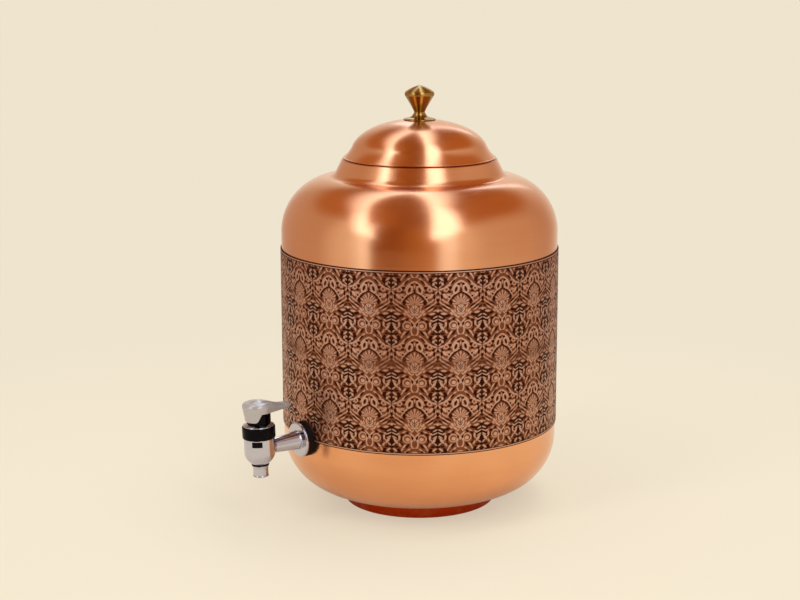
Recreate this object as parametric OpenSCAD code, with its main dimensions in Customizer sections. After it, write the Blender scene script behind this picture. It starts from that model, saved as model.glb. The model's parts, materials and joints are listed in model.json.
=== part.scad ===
// Copper water dispenser: spun pot with an etched sleeve, lift-off lid and press-lever tap.
// Origin at the centre of the foot, +Z up, tap towards -Y, millimetres.

/* [Pot] */
// Outer radius of the straight wall
wall_r = 109.6; // [100:0.1:125]
// Height of the straight wall between the two rounded ends
wall_h = 164; // [150:1:200]
// Thickness of the spun copper
sheet = 1.0; // [0.8:0.1:1.4]
// Radius of the round from the wall into the bottom
bowl_arc = 44; // [40:0.5:48]
// Radius of the round from the wall into the shoulder
shoulder_arc = 44; // [40:0.5:46]
// Height of the lap seam above the foot of the straight wall
seam_rise = 81; // [60:1:100]
// Height over which the lower half laps inside the upper half
lap_h = 12; // [8:1:20]

/* [Neck] */
// Outer radius of the neck's upper corner
neck_r = 60.95; // [58:0.05:63]
// Height of the lip above the crown of the shoulder
neck_h = 13.4; // [11:0.1:16]
// Lean of the neck's cone from upright, in degrees
neck_lean = 26.5; // [20:0.5:32]
// Radius of the fillet between shoulder and neck
neck_fillet = 4; // [3:0.5:6]
// Radius of the rounded outer edge of the lip
lip_round = 1.6; // [1.5:0.1:2.2]
// Width of the inturned lip, from the neck's upper corner to the mouth
lip_w = 3.35; // [3:0.05:4]

/* [Foot] */
// Outer radius at the bottom of the foot ring
foot_r = 60.6; // [56:0.1:62]
// Height of the bowl above the ground
foot_h = 12; // [9:0.5:15]
// Outward lean of the foot's wall from bottom to top
foot_flare = 1.4; // [0.5:0.1:2]
// Thickness of the foot's wall
foot_wall = 1.5; // [1.2:0.1:2]
// Width of the foot's rolled lower edge
foot_roll = 3.2; // [2.5:0.1:4]

/* [Etched band] */
// Height of the band's lower edge above the foot of the straight wall
band_rise = 10.6; // [8:0.1:12]
// Height of the band
band_h = 140.9; // [125:0.1:145]
// Thickness of the band's sheet
band_t = 0.85; // [0.6:0.05:1.2]

/* [Lid] */
// Thickness of the lid's sheet
lid_sheet = 0.9; // [0.7:0.1:1.2]
// Amount by which the brim stays inside the neck's upper corner
brim_inset = 0.65; // [0.5:0.05:0.9]
// Thickness of the brim's rolled edge
brim_t = 1.2; // [1.1:0.1:1.6]
// Radius of the lid's dome at its foot
dome_r = 54.2; // [52.5:0.1:55]
// Rise of the dome above its widest circle
dome_h = 26.5; // [22:0.1:30]
// Slope of the flare between brim and dome, in degrees
flare_slope = 45; // [40:1:48]
// Height of the centring ring below the brim
collar_drop = 8; // [5:0.5:12]
// Thickness of the centring ring
collar_t = 1.0; // [0.8:0.1:1.2]

/* [Knob] */
// Height of the knob above the rosette
knob_h = 22; // [18:0.1:26]
// Radius of the knob's widest circle
knob_r = 11.75; // [10:0.05:14]
// Height of the knob's widest circle above the rosette
knob_edge = 15; // [12:0.1:17]
// Radius of the round at the knob's widest circle
knob_round = 2.8; // [1.5:0.1:3]
// Radius of the knob's waist
knob_waist = 4.3; // [4:0.1:5]
// Radius of the rosette
rosette_r = 12.7; // [11:0.1:15]
// Height of the rosette above the crown of the lid
rosette_h = 4.4; // [3.5:0.1:6]
// Radius of the head of the knob's screw
screw_head_r = 4.5; // [4:0.1:6]
// Radius of the knob's screw
screw_r = 2.4; // [2:0.1:2.6]
// Depth of the screw in the knob
screw_grip = 9; // [7:0.5:12]
// Radius of the washer inside the lid
washer_r = 8; // [6.5:0.5:10]
// Thickness of the washer inside the lid
washer_t = 1.0; // [0.8:0.1:1.5]

/* [Tap mounting] */
// Height of the tap's stem above the foot of the straight wall
tap_rise = 10.7; // [10:0.1:14]
// Downward tilt of the stem, in degrees
tap_tilt = 2; // [0:0.5:4]
// Distance from the band's face to the axis of the barrel
reach = 40; // [36:0.5:48]
// Radius of the flange and of its gasket
flange_r = 13.75; // [12.5:0.05:14.5]
// Thickness of the flange
flange_t = 2.2; // [1.6:0.1:3]
// Depth of the outer gasket in front of the band
gasket_t = 4; // [3:0.1:5]
// Thickness of the inner gasket against the wall
inner_gasket_t = 3; // [2.5:0.1:4]
// Radius of the threaded shank
shank_r = 8; // [7.5:0.1:9]
// Length of shank that stands clear behind the lock nut
shank_spare = 3; // [1.5:0.5:6]
// Width of the lock nut across its flats
nut_flats = 24; // [22:0.5:26]
// Thickness of the lock nut
nut_t = 6; // [5:0.5:8]
// Radius of the stem where it leaves the barrel
stem_r = 5.6; // [5.4:0.1:6.2]
// Radius of the stem where it meets the flange
stem_root_r = 7.4; // [6.8:0.1:8.5]
// Radius of the waterway through the shank and stem
water_r = 4; // [3:0.1:4.4]

/* [Tap barrel] */
// Outer radius of the barrel
barrel_r = 11.85; // [11.4:0.05:12.2]
// Height of the barrel's shoulder above the stem's axis
barrel_up = 9.4; // [8.5:0.1:11]
// Depth below the stem's axis at which the barrel begins to taper
barrel_straight = 2.6; // [1.5:0.1:3.5]
// Depth of the barrel's lower end below the stem's axis
barrel_down = 11.2; // [10.8:0.1:13]
// Radius of the barrel's lower end
barrel_end_r = 6.8; // [6.6:0.1:7.4]
// Radius of the valve chamber
chamber_r = 8; // [7.8:0.05:8.2]
// Radius of the valve's throat
throat_r = 4.4; // [4:0.1:4.8]
// Height of the threaded neck inside the collar nut
thread_h = 4.6; // [4:0.1:5.2]
// Thickness of the threaded neck
thread_wall = 1.9; // [1.7:0.05:2.1]
// Length of the nozzle below its ring
nozzle_h = 9; // [7:0.1:12]
// Outer radius of the nozzle's tube
nozzle_r = 5.8; // [5.5:0.1:6.4]
// Radius of the nozzle's bore
nozzle_bore = 3.4; // [3.2:0.1:3.6]
// Thickness of the ring between barrel and nozzle
nozzle_ring_t = 1.5; // [1.2:0.1:1.8]

/* [Tap head] */
// Outer radius of the collar nut
collar_nut_r = 12.7; // [12.5:0.05:13.5]
// Height of the collar nut
collar_nut_h = 9.4; // [8.8:0.1:10.5]
// Radius of the turret
turret_r = 8.2; // [8:0.05:8.3]
// Height of the turret above the collar nut
turret_h = 9.6; // [9:0.1:11]
// Radius of the heel on which the lever tips
heel_r = 9.6; // [9.2:0.1:10]
// Thickness of the turret's roof
turret_roof = 3.4; // [2.8:0.1:4]
// Depth of the turret's plug in the barrel
plug_h = 5; // [4:0.1:5.5]
// Thickness of the ring that seals the plug
plug_ring_t = 1.5; // [1.2:0.1:1.7]
// Radius of the valve's stem
rod_r = 2.4; // [2.2:0.05:2.6]
// Wire thickness of the return spring
wire_t = 0.8; // [0.6:0.05:1]
// Mean radius of the return spring
spring_r = 3.7; // [3.6:0.05:3.9]
// Length of the return spring
spring_h = 11.5; // [10:0.1:12.5]
// Number of turns in the return spring
spring_turns = 6; // [5:1:6]

/* [Lever] */
// Radius of the lever's round head
head_r = 11.75; // [11.4:0.05:12.2]
// Height of the lever's head above its flat underside
head_h = 9.5; // [9:0.1:11]
// Height of the crease between head and skirt above the flat underside
crease_up = 4.5; // [4:0.1:5.5]
// Distance from the barrel's axis to the lever's tip
lever_reach = 28.3; // [25:0.1:31]
// Half of the width of the lever's tip
tip_r = 6.5; // [5.5:0.1:7.5]
// Thickness of the lever's tip
tip_t = 5.4; // [4.6:0.1:6]
// Depth of the lever's skirt below its flat underside
skirt_drop = 6.5; // [5.5:0.1:7]
// Radius at the skirt's lower edge
skirt_r = 10; // [9.9:0.05:10.6]
// Thickness of the skirt at its lower edge
skirt_t = 1.2; // [1:0.05:1.3]
// Height of the pin above the lever's flat underside
pin_up = 3; // [2.8:0.1:3.4]
// Radius of the pin
pin_r = 1.2; // [1:0.05:1.3]

/* [Hidden] */
// Gap of fitted sheets, threads and pressed pieces
fit = 0.05;
// Gap of pieces that turn or slide on each other
run = 0.1;
// Play of the centring ring in the mouth
lid_play = 0.4;
// Play of screws, rods and eyes in plain holes
hole_play = 0.3;
// Overshoot of cuts past a face
over = 1;
$fn = 96;

// Finishes as the photograph shows them
copper = "#c87d50";
etched = "#7d4a32";
brass = "#b4822c";
chrome = "#c9c5c6";
black = "#161415";
rubber = "#1d1b1b";
silicone = "#d8d4cc";
steel = "#a9abad";

// Points on an arc from angle a to angle b
function arc(c, r, a, b, n = 10) =
    [for (i = [0:n]) let (t = a + (b - a) * i / n) c + r * [cos(t), sin(t)]];
// Points on an upright ellipse from angle a to angle b
function oval(c, rx, rz, a, b, n = 16) =
    [for (i = [0:n]) let (t = a + (b - a) * i / n) c + [rx * cos(t), rz * sin(t)]];
// Points on a curve from a to c that leaves and arrives along the lines to b
function bend(a, b, c, n = 8) =
    [for (i = [0:n]) let (t = i / n) (1 - t) * (1 - t) * a + 2 * t * (1 - t) * b + t * t * c];
function reverse(p) = [for (i = [len(p) - 1:-1:0]) p[i]];

// Levels of the pot
wall_z = foot_h + bowl_arc;
shoulder_z = wall_z + wall_h;
seam_z = wall_z + seam_rise;
lip_z = shoulder_z + shoulder_arc + neck_h;
band_z = wall_z + band_rise;
band_r = wall_r + fit + band_t;

// Round of the bottom, round of the shoulder and fillet of the neck
bowl_c = [wall_r - bowl_arc, wall_z];
shoulder_c = [wall_r - shoulder_arc, shoulder_z];
neck_top = [neck_r, lip_z];
cone_out = [cos(neck_lean), sin(neck_lean)];
cone_up = [-sin(neck_lean), cos(neck_lean)];
neck_v = neck_top + neck_fillet * cone_out - shoulder_c;
neck_t = -neck_v * cone_up
    + sqrt(pow(neck_v * cone_up, 2) - neck_v * neck_v + pow(shoulder_arc + neck_fillet, 2));
fillet_c = neck_top + neck_fillet * cone_out + neck_t * cone_up;
fillet_a = atan2((fillet_c - shoulder_c)[1], (fillet_c - shoulder_c)[0]);
lip_c = neck_top - lip_round * [(1 - sin(neck_lean)) / cos(neck_lean), 1];
mouth_r = neck_r - lip_w;

// Curve of the lower half up to the wall, and of the upper half up to the mouth, a depth inside the skin
function bowl_curve(depth) =
    concat([[0, foot_h + depth]], arc(bowl_c, bowl_arc - depth, -90, 0, 14));
function shoulder_curve(depth) = concat(
    arc(shoulder_c, shoulder_arc - depth, 0, fillet_a, 14),
    arc(fillet_c, neck_fillet + depth, fillet_a + 180, neck_lean + 180, 8),
    arc(lip_c, lip_round - depth, neck_lean, 90, 6),
    [[mouth_r, lip_z - depth]]);

// Lid: brim seat, flare and dome
brim_z = lip_z + run;
brim_r = neck_r - brim_inset;
flare_r = brim_r - brim_t / 2;
flare_foot = brim_z + brim_t / 2;
dome_foot = flare_foot + (flare_r - dome_r) * tan(flare_slope);
// Height by which the dome's widest circle lies below the top of the flare
dome_sink = 1.9;
dome_z = dome_foot - dome_sink;
crown_z = dome_z + dome_h;
flare_shift = lid_sheet / sin(flare_slope);
// Radius at which the flare's underside meets the brim's
brim_in_r = flare_r - flare_shift + (flare_foot - brim_z) / tan(flare_slope);
centring_r = mouth_r - lid_play;
centring_z = brim_z - collar_drop;
// Length over which the flare blends into the dome
flare_blend = 1.5;

function dome_start(depth) = asin((dome_foot + flare_blend - dome_z) / (dome_h - depth));
function dome_height(r, depth) =
    dome_z + (dome_h - depth) * sqrt(1 - pow(r / (dome_r - depth), 2));
function flare_height(r, shift) = flare_foot + (flare_r - shift - r) * tan(flare_slope);
// The lid from the flare to its crown, a depth inside the skin, with the flare moved in by shift
function lid_curve(depth, shift) = let (
        knee_r = dome_r - depth,
        foot_r = knee_r + flare_blend,
        top = oval([0, dome_z], dome_r - depth, dome_h - depth, dome_start(depth), 90))
    concat(
        bend([foot_r, flare_height(foot_r, shift)], [knee_r, flare_height(knee_r, shift)], top[0], 4),
        top);

// Knob
rosette_top = crown_z + rosette_h;
screw_hole_r = screw_r + hole_play;
// Thickness of the rosette's rim
rosette_rim = 0.7;
// Step from the knob's waist out to the rosette's boss
boss_step = 0.4;
boss_r = knob_waist + boss_step;

// Tap
tap_z = wall_z + tap_rise;
hole_r = shank_r + hole_play;
inner_wall_r = wall_r - sheet;
// Depth of the wall behind the band's face, and of the inner gasket's and nut's faces behind that
wall_back = band_r - inner_wall_r;
nut_y = wall_back + inner_gasket_t;
shank_end = nut_y + nut_t + shank_spare;
flange_y = gasket_t;
neck_thread_r = chamber_r + thread_wall;
// Height of the valve's seat above the barrel's lower end, and of the throat below the seat
seat_up = 3;
throat_h = 0.6;
seat_z = -barrel_down + seat_up;
ring_c = barrel_end_r - nozzle_ring_t / 2;
nozzle_top = -barrel_down - nozzle_ring_t;
nozzle_end = nozzle_top - nozzle_h;
// Wall of the nozzle's threaded spigot
spigot_wall = 1.6;
spigot_r = nozzle_bore + spigot_wall;
spigot_top = seat_z - throat_h;

// Levels of the head above the stem's axis
thread_top = barrel_up + thread_h;
// Thickness of the turret's retaining flange
turret_flange = 2.2;
turret_base = thread_top + run;
collar_lip = turret_base + turret_flange + run;
collar_top = barrel_up + collar_nut_h;
turret_top = collar_top + turret_h;
// Play of the spring in the turret's bore
spring_play = 0.5;
turret_bore = spring_r + wire_t / 2 + spring_play;
plug_r = chamber_r - run;
plug_end = turret_base - plug_h;
plug_ring_z = turret_base - plug_h / 2;
spring_top = turret_top - turret_roof;
spring_foot = spring_top - spring_h;
// Thickness of the washer under the spring, and thickness and width of the stem's shoulder under that
spring_washer_t = 0.8;
rod_shoulder = 1.2;
rod_shoulder_w = 1;
under_z = turret_top + run;
pin_z = under_z + pin_up;
head_top = under_z + head_h;
skirt_z = under_z - skirt_drop;
// Depth of the pin's open end in the head's side, and wall of the head past its blind end
pin_sink = 1.2;
pin_wall = 2.6;
pin_near = head_r - pin_sink;
pin_far = head_r - pin_wall;
// Radius of the stem's eye round the pin, and its thickness across the flats
eye_r = 2.9;
eye_w = 4.4;
// Radius of the round along the lever's upper edges
edge_r = 2.2;
crease_z = under_z + crease_up;
// Waterway round the cup, height of the cup and depth of its socket for the stem
cup_play = 1.3;
cup_h = 5.4;
cup_socket = 3.4;
cup_r = chamber_r - cup_play;
// Overlap of the cup's foot past the throat, and gap between the seat and the cup's cone
cup_cover = 0.4;
seat_gap = 0.1;
cup_foot_r = throat_r + cup_cover;
cup_z = seat_z + cup_cover + seat_gap * sqrt(2);

module revolve(points) {
    rotate_extrude() polygon(points);
}

// The same for a solid that only cuts others, fine enough for thin pieces against the wall
module fine_revolve(points) {
    rotate_extrude($fn = 360) polygon(points);
}

// The pot's outside up to its mouth, as one solid
module pot_outside() {
    fine_revolve(concat(bowl_curve(0), shoulder_curve(0), [[0, lip_z]]));
}

// Places children on the stem's axis at the band's face, with the vessel towards +Y
module at_stem() {
    translate([0, -band_r, tap_z]) rotate([tap_tilt, 0, 0]) children();
}

// Places children on the barrel's axis, level with the stem
module at_barrel() {
    at_stem() translate([0, -reach, 0]) children();
}

// A round bar along the stem from y = a to y = b
module stem_bar(r, a, b, r_end = undef) {
    r2 = is_undef(r_end) ? r : r_end;
    translate([0, a, 0]) rotate([-90, 0, 0]) cylinder(r1 = r, r2 = r2, h = b - a);
}

module tap_hole() {
    at_stem() stem_bar(hole_r, -gasket_t, shank_end);
}

module upper_shell() {
    color(copper) revolve(concat(
        [[wall_r, seam_z]], shoulder_curve(0),
        reverse(shoulder_curve(sheet)), [[wall_r - sheet, seam_z]]));
}

module lower_shell() {
    step = sheet + fit;
    joggle_h = 3;
    lap_r = wall_r - step;
    color(copper) difference() {
        revolve(concat(
            bowl_curve(0),
            [[wall_r, seam_z - joggle_h], [lap_r, seam_z], [lap_r, seam_z + lap_h],
             [lap_r - sheet, seam_z + lap_h], [lap_r - sheet, seam_z], [wall_r - sheet, seam_z - joggle_h]],
            reverse(bowl_curve(sheet))));
        tap_hole();
    }
}

module etched_band() {
    color(etched) difference() {
        translate([0, 0, band_z]) cylinder(r = band_r, h = band_h);
        translate([0, 0, band_z - over]) cylinder(r = wall_r + fit, h = band_h + 2 * over);
        tap_hole();
    }
}

module foot_ring() {
    roll_h = 3;
    roll_round = 1;
    top_r = foot_r + foot_flare;
    color(copper) difference() {
        revolve(concat(
            [[foot_r - foot_roll, 0]],
            arc([foot_r - roll_round, roll_round], roll_round, -90, 0, 4),
            [[top_r, foot_h + over], [top_r - foot_wall, foot_h + over],
             [foot_r - foot_wall, roll_h], [foot_r - foot_roll, roll_h]]));
        pot_outside();
    }
}

module lid_dome() {
    edge_c = [brim_r - brim_t / 2, brim_z + brim_t / 2];
    color(copper) difference() {
        revolve(concat(
            arc(edge_c, brim_t / 2, -90, 90 - flare_slope, 6),
            lid_curve(0, 0),
            reverse(lid_curve(lid_sheet, flare_shift)),
            [[brim_in_r, brim_z]]));
        translate([0, 0, crown_z - over - lid_sheet]) cylinder(r = screw_hole_r, h = 2 * over + lid_sheet);
    }
}

module lid_collar() {
    top = brim_z + (brim_in_r - centring_r) * tan(flare_slope) - fit;
    color(copper) revolve([
        [centring_r, centring_z], [centring_r, top],
        [centring_r - collar_t, top + collar_t * tan(flare_slope)], [centring_r - collar_t, centring_z]]);
}

module knob() {
    z0 = rosette_top;
    // Height of the straight waist under the flare
    waist_h = 1;
    // Angles at which the round leaves the flare and meets the cap
    edge_from = -35;
    edge_to = 62;
    // Offsets from the waist's foot and from the top of the points that draw the flare and the cap
    flare_pull = [0.7, 3.4];
    cap_drop = 1.4;
    edge = arc([knob_r - knob_round, z0 + knob_edge], knob_round, edge_from, edge_to, 7);
    color(brass) difference() {
        revolve(concat(
            [[0, z0], [knob_waist, z0]],
            bend([knob_waist, z0 + waist_h], [knob_waist, z0] + flare_pull, edge[0]),
            edge,
            bend(edge[len(edge) - 1], [knob_r / 2, z0 + knob_h - cap_drop], [0, z0 + knob_h])));
        translate([0, 0, z0 - over]) cylinder(r = screw_r + fit, h = screw_grip + fit + over);
    }
}

module knob_rosette() {
    // Width of the flat rim round the rosette's flare
    rim_w = 1.9;
    rim_top = crown_z + rosette_rim;
    // Offset from the boss of the point that draws the flare in
    flare_pull = [1, 0.6];
    steps = 6;
    color(brass) revolve(concat(
        [for (i = [0:steps]) let (r = screw_hole_r + (rosette_r - screw_hole_r) * i / steps)
            [r, dome_height(r, 0) + fit]],
        [[rosette_r, dome_height(rosette_r, 0) + rosette_rim]],
        bend([rosette_r - rim_w, rim_top], [boss_r, rim_top] + flare_pull, [boss_r, rosette_top]),
        [[screw_hole_r, rosette_top]]));
}

// Level of the washer's upper face, where its rim meets the inside of the lid
knob_washer_top = dome_height(washer_r, lid_sheet) - fit;

module knob_washer() {
    color(steel) translate([0, 0, knob_washer_top - washer_t]) difference() {
        cylinder(r = washer_r, h = washer_t);
        translate([0, 0, -over]) cylinder(r = screw_hole_r, h = washer_t + 2 * over);
    }
}

module knob_screw() {
    head_h = 2.6;
    head_round = 1;
    slot_w = 1;
    slot_d = 1.2;
    z0 = knob_washer_top - washer_t;
    color(steel) difference() {
        union() {
            translate([0, 0, z0]) cylinder(r = screw_r, h = rosette_top + screw_grip - z0);
            revolve(concat(
                [[0, z0], [screw_head_r, z0]],
                arc([screw_head_r - head_round, z0 - head_h + head_round], head_round, 0, -90, 4),
                [[0, z0 - head_h]]));
        }
        translate([-screw_head_r, -slot_w / 2, z0 - head_h - over])
            cube([2 * screw_head_r, slot_w, slot_d + over]);
    }
}

module tap_body() {
    flange_bevel = 0.8;
    flange_face = -flange_y - flange_t;
    taper = bend([barrel_r, -barrel_straight], [barrel_r, -(barrel_straight + barrel_down) / 2],
                 [barrel_end_r, -barrel_down]);
    color(chrome) at_stem() difference() {
        union() {
            translate([0, -reach, 0]) revolve(concat(
                [[0, thread_top], [neck_thread_r, thread_top],
                 [neck_thread_r, barrel_up], [barrel_r, barrel_up]],
                taper, [[0, -barrel_down]]));
            stem_bar(stem_r, -reach, flange_face, stem_root_r);
            stem_bar(flange_r - flange_bevel, flange_face, flange_face + flange_bevel, flange_r);
            stem_bar(flange_r, flange_face + flange_bevel, -flange_y);
            stem_bar(shank_r, -flange_y, shank_end);
        }
        stem_bar(water_r, -reach, shank_end + over);
        translate([0, -reach, 0]) revolve([
            [0, thread_top + over], [chamber_r, thread_top + over],
            [chamber_r, seat_z + chamber_r - throat_r], [throat_r, seat_z],
            [throat_r, spigot_top + fit], [spigot_r + fit, spigot_top + fit],
            [spigot_r + fit, -barrel_down - over], [0, -barrel_down - over]]);
    }
}

module outer_gasket() {
    color(rubber) difference() {
        at_stem() difference() {
            stem_bar(flange_r, -flange_y, 2 * gasket_t);
            stem_bar(shank_r + fit, -flange_y - over, 2 * gasket_t + over);
        }
        pot_outside();
        translate([0, 0, band_z]) cylinder(r = band_r, h = band_h, $fn = 360);
    }
}

module inner_gasket() {
    color(rubber) intersection() {
        at_stem() difference() {
            stem_bar(flange_r, 0, nut_y);
            stem_bar(shank_r + fit, -over, nut_y + over);
        }
        fine_revolve(concat(bowl_curve(sheet), shoulder_curve(sheet), [[0, lip_z - sheet]]));
    }
}

module lock_nut() {
    color(chrome) at_stem() difference() {
        translate([0, nut_y, 0]) rotate([-90, 0, 0]) cylinder(d = nut_flats / cos(30), h = nut_t, $fn = 6);
        stem_bar(shank_r + fit, nut_y - over, nut_y + nut_t + over);
    }
}

module nozzle() {
    // Rim under the ring, and the taper from it down to the tube
    rim_r = barrel_end_r - 0.3;
    rim_h = 0.4;
    rim_pull = 1.4;
    taper_h = 3.6;
    // Bead round the outlet, the height at which it starts, and the bevel of the bore
    bead_proud = 0.3;
    bead_r = 0.7;
    bead_h = 2.2;
    bevel = 0.5;
    color(chrome) at_barrel() revolve(concat(
        [[nozzle_bore, spigot_top], [spigot_r, spigot_top], [spigot_r, nozzle_top], [rim_r, nozzle_top]],
        bend([rim_r, nozzle_top - rim_h], [nozzle_r, nozzle_top - rim_pull],
             [nozzle_r, nozzle_top - taper_h], 5),
        [[nozzle_r, nozzle_end + bead_h]],
        arc([nozzle_r + bead_proud - bead_r, nozzle_end + bead_r], bead_r, 60, -90, 6),
        [[nozzle_bore + bevel, nozzle_end], [nozzle_bore, nozzle_end + bevel]]));
}

module nozzle_oring() {
    color(rubber) at_barrel() translate([0, 0, -barrel_down - nozzle_ring_t / 2])
        rotate_extrude() translate([ring_c, 0]) circle(d = nozzle_ring_t, $fn = 32);
}

module collar_nut() {
    low_round = 0.8;
    top_round = 1.2;
    crown = 0.5;
    // Angle at which the upper round meets the crowned top
    crown_from = 80;
    eye = turret_r + hole_play;
    color(black) at_barrel() revolve(concat(
        [[neck_thread_r + fit, barrel_up + fit]],
        arc([collar_nut_r - low_round, barrel_up + low_round + fit], low_round, -90, 0, 4),
        arc([collar_nut_r - top_round, collar_top - top_round], top_round, 0, crown_from, 5),
        [[eye, collar_top + crown], [eye, collar_lip], [neck_thread_r + fit, collar_lip]]));
}

module turret() {
    heel_bevel = 0.4;
    // Distance from the axis at which the heel begins
    heel_from = 3.6;
    // Height of the heel above the collar nut
    heel_clear = 1.2;
    groove_r = chamber_r - plug_ring_t - 2 * fit;
    groove_low = plug_ring_z - plug_ring_t / 2 - fit;
    groove_high = plug_ring_z + plug_ring_t / 2 + fit;
    heel_base = collar_top + heel_clear;
    color(black) at_barrel() difference() {
        union() {
            revolve([
                [0, plug_end], [plug_r, plug_end],
                [plug_r, groove_low], [groove_r, groove_low],
                [groove_r, groove_high], [plug_r, groove_high],
                [plug_r, turret_base], [neck_thread_r - fit, turret_base],
                [neck_thread_r - fit, turret_base + turret_flange], [turret_r, turret_base + turret_flange],
                [turret_r, turret_top - heel_bevel], [turret_r - heel_bevel, turret_top], [0, turret_top]]);
            intersection() {
                revolve([
                    [0, heel_base], [turret_r, heel_base], [heel_r, heel_base + heel_r - turret_r],
                    [heel_r, turret_top - heel_bevel], [heel_r - heel_bevel, turret_top], [0, turret_top]]);
                translate([-heel_r, heel_from, heel_base]) cube([2 * heel_r, heel_r, turret_top - heel_base]);
            }
        }
        translate([0, 0, plug_end - over]) cylinder(r = turret_bore, h = spring_top - plug_end + over);
        cylinder(r = rod_r + fit, h = turret_top + over);
    }
}

module turret_oring() {
    color(rubber) at_barrel() translate([0, 0, plug_ring_z])
        rotate_extrude() translate([chamber_r - fit - plug_ring_t / 2, 0]) circle(d = plug_ring_t, $fn = 32);
}

module valve_stem() {
    shoulder_top = spring_foot - spring_washer_t - fit;
    rod_z = cup_z + cup_h - cup_socket;
    color(steel) at_barrel() difference() {
        union() {
            translate([0, 0, rod_z]) cylinder(r = rod_r, h = pin_z - rod_z);
            translate([0, 0, shoulder_top - rod_shoulder])
                cylinder(r = rod_r + rod_shoulder_w, h = rod_shoulder);
            intersection() {
                translate([-eye_w / 2, 0, pin_z]) rotate([0, 90, 0]) cylinder(r = eye_r, h = eye_w);
                translate([-eye_r, -eye_r, under_z + run]) cube([2 * eye_r, 2 * eye_r, head_h]);
            }
        }
        for (side = [-1, 1])
            translate([side * (eye_w / 2 + eye_r) - eye_r, -eye_r, under_z - run])
                cube([2 * eye_r, 2 * eye_r, head_h]);
        translate([-eye_r, 0, pin_z]) rotate([0, 90, 0]) cylinder(r = pin_r + fit, h = 2 * eye_r);
    }
}

module seat_cup() {
    lip_z0 = cup_z + cup_r - cup_foot_r;
    lip_t = 0.8;
    boss_wall = 1.2;
    boss_r = rod_r + boss_wall;
    color(silicone) at_barrel() difference() {
        revolve([[0, cup_z], [cup_foot_r, cup_z], [cup_r, lip_z0], [cup_r, lip_z0 + lip_t],
                 [boss_r, lip_z0 + 2 * lip_t], [boss_r, cup_z + cup_h], [0, cup_z + cup_h]]);
        translate([0, 0, cup_z + cup_h - cup_socket]) cylinder(r = rod_r + fit, h = cup_socket + over);
    }
}

// Spring as one six-sided tube swept along a helix
spring_sides = 6;
rings_per_turn = 16;
spring_rings = rings_per_turn * spring_turns;
spring_pitch = (spring_h - wire_t) / spring_turns;
function spring_point(i) = let (t = 360 * i / rings_per_turn)
    [spring_r * cos(t), spring_r * sin(t), spring_foot + wire_t / 2 + spring_pitch * i / rings_per_turn];
function spring_ring(i) = let (p = spring_point(i), t = 360 * i / rings_per_turn)
    [for (k = [0:spring_sides - 1]) let (a = 360 * k / spring_sides)
        p + wire_t / 2 * [cos(a) * cos(t), cos(a) * sin(t), sin(a)]];
// Least distance between two turns, less the wire, on the points of the helix
spring_gap = min([for (i = [0:rings_per_turn]) for (k = [i + rings_per_turn / 2:spring_rings])
    norm(spring_point(i) - spring_point(k))]) - wire_t;

module return_spring() {
    points = [for (i = [0:spring_rings]) each spring_ring(i)];
    last = spring_rings * spring_sides;
    sides = [for (i = [0:spring_rings - 1]) for (k = [0:spring_sides - 1])
        let (a = i * spring_sides + k, b = i * spring_sides + (k + 1) % spring_sides)
        each [[a, a + spring_sides, b], [b, a + spring_sides, b + spring_sides]]];
    ends = [for (k = [1:spring_sides - 2]) each [[0, k, k + 1], [last, last + k + 1, last + k]]];
    echo(spring_gap = spring_gap);
    color(steel) at_barrel() polyhedron(points, concat(sides, ends));
}

module spring_washer() {
    color(steel) at_barrel() translate([0, 0, spring_foot - spring_washer_t - fit / 2]) difference() {
        cylinder(r = turret_bore - 2 * run, h = spring_washer_t);
        translate([0, 0, -over]) cylinder(r = rod_r + fit, h = spring_washer_t + 2 * over);
    }
}

module lever_blank() {
    tip_y = lever_reach - tip_r;
    // Rise of the tip's underside above the head's, and bevels round the two undersides
    tip_up = 0.4;
    tip_bevel = 0.8;
    head_bevel = 0.7;
    // Thickness of the flat slices that the hull spans
    slice = 0.1;
    tip_z = under_z + tip_up;
    hull() {
        translate([0, 0, head_top - edge_r]) rotate_extrude($fn = 40)
            translate([head_r - edge_r, 0]) circle(r = edge_r, $fn = 16);
        translate([0, 0, crease_z]) cylinder(r = head_r, h = slice, $fn = 40);
        translate([0, tip_y, tip_z + tip_t - edge_r]) rotate_extrude($fn = 32)
            translate([tip_r - edge_r, 0]) circle(r = edge_r, $fn = 16);
        translate([0, tip_y, tip_z]) cylinder(r = tip_r - tip_bevel, h = slice, $fn = 32);
        translate([0, 0, under_z]) cylinder(r = head_r - head_bevel, h = slice, $fn = 40);
    }
}

module lever() {
    // Half length of the slot in which the stem's eye tips
    slot_y = 3.9;
    // Where the skirt ends at its foot, behind the barrel's axis, and how far its end leans back upwards
    cut_foot = -5.6;
    cut_lean = 2.9;
    // Step of the skirt inside the head at the crease
    crease_in = 0.6;
    inside_r = skirt_r - skirt_t;
    far = lever_reach + over;
    color(chrome) at_barrel() difference() {
        union() {
            lever_blank();
            revolve([[0, skirt_z], [skirt_r, skirt_z], [head_r - crease_in, crease_z], [0, crease_z]]);
        }
        translate([0, 0, skirt_z - over]) cylinder(r = inside_r, h = skirt_drop + over);
        translate([-far, 0, 0]) rotate([90, 0, 90]) linear_extrude(2 * far) polygon([
            [cut_foot, skirt_z - over], [cut_foot, skirt_z], [cut_foot + cut_lean, under_z],
            [far, under_z], [far, skirt_z - over]]);
        translate([-eye_w / 2 - hole_play, -slot_y, under_z - over])
            cube([eye_w + 2 * hole_play, 2 * slot_y, pin_up + eye_r + hole_play + over]);
        translate([-head_r - over, 0, pin_z]) rotate([0, 90, 0])
            cylinder(r = pin_r + fit / 2, h = head_r + over + pin_far + fit);
    }
}

module lever_pin() {
    color(steel) at_barrel() translate([-pin_near, 0, pin_z]) rotate([0, 90, 0])
        cylinder(r = pin_r, h = pin_near + pin_far);
}

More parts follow.
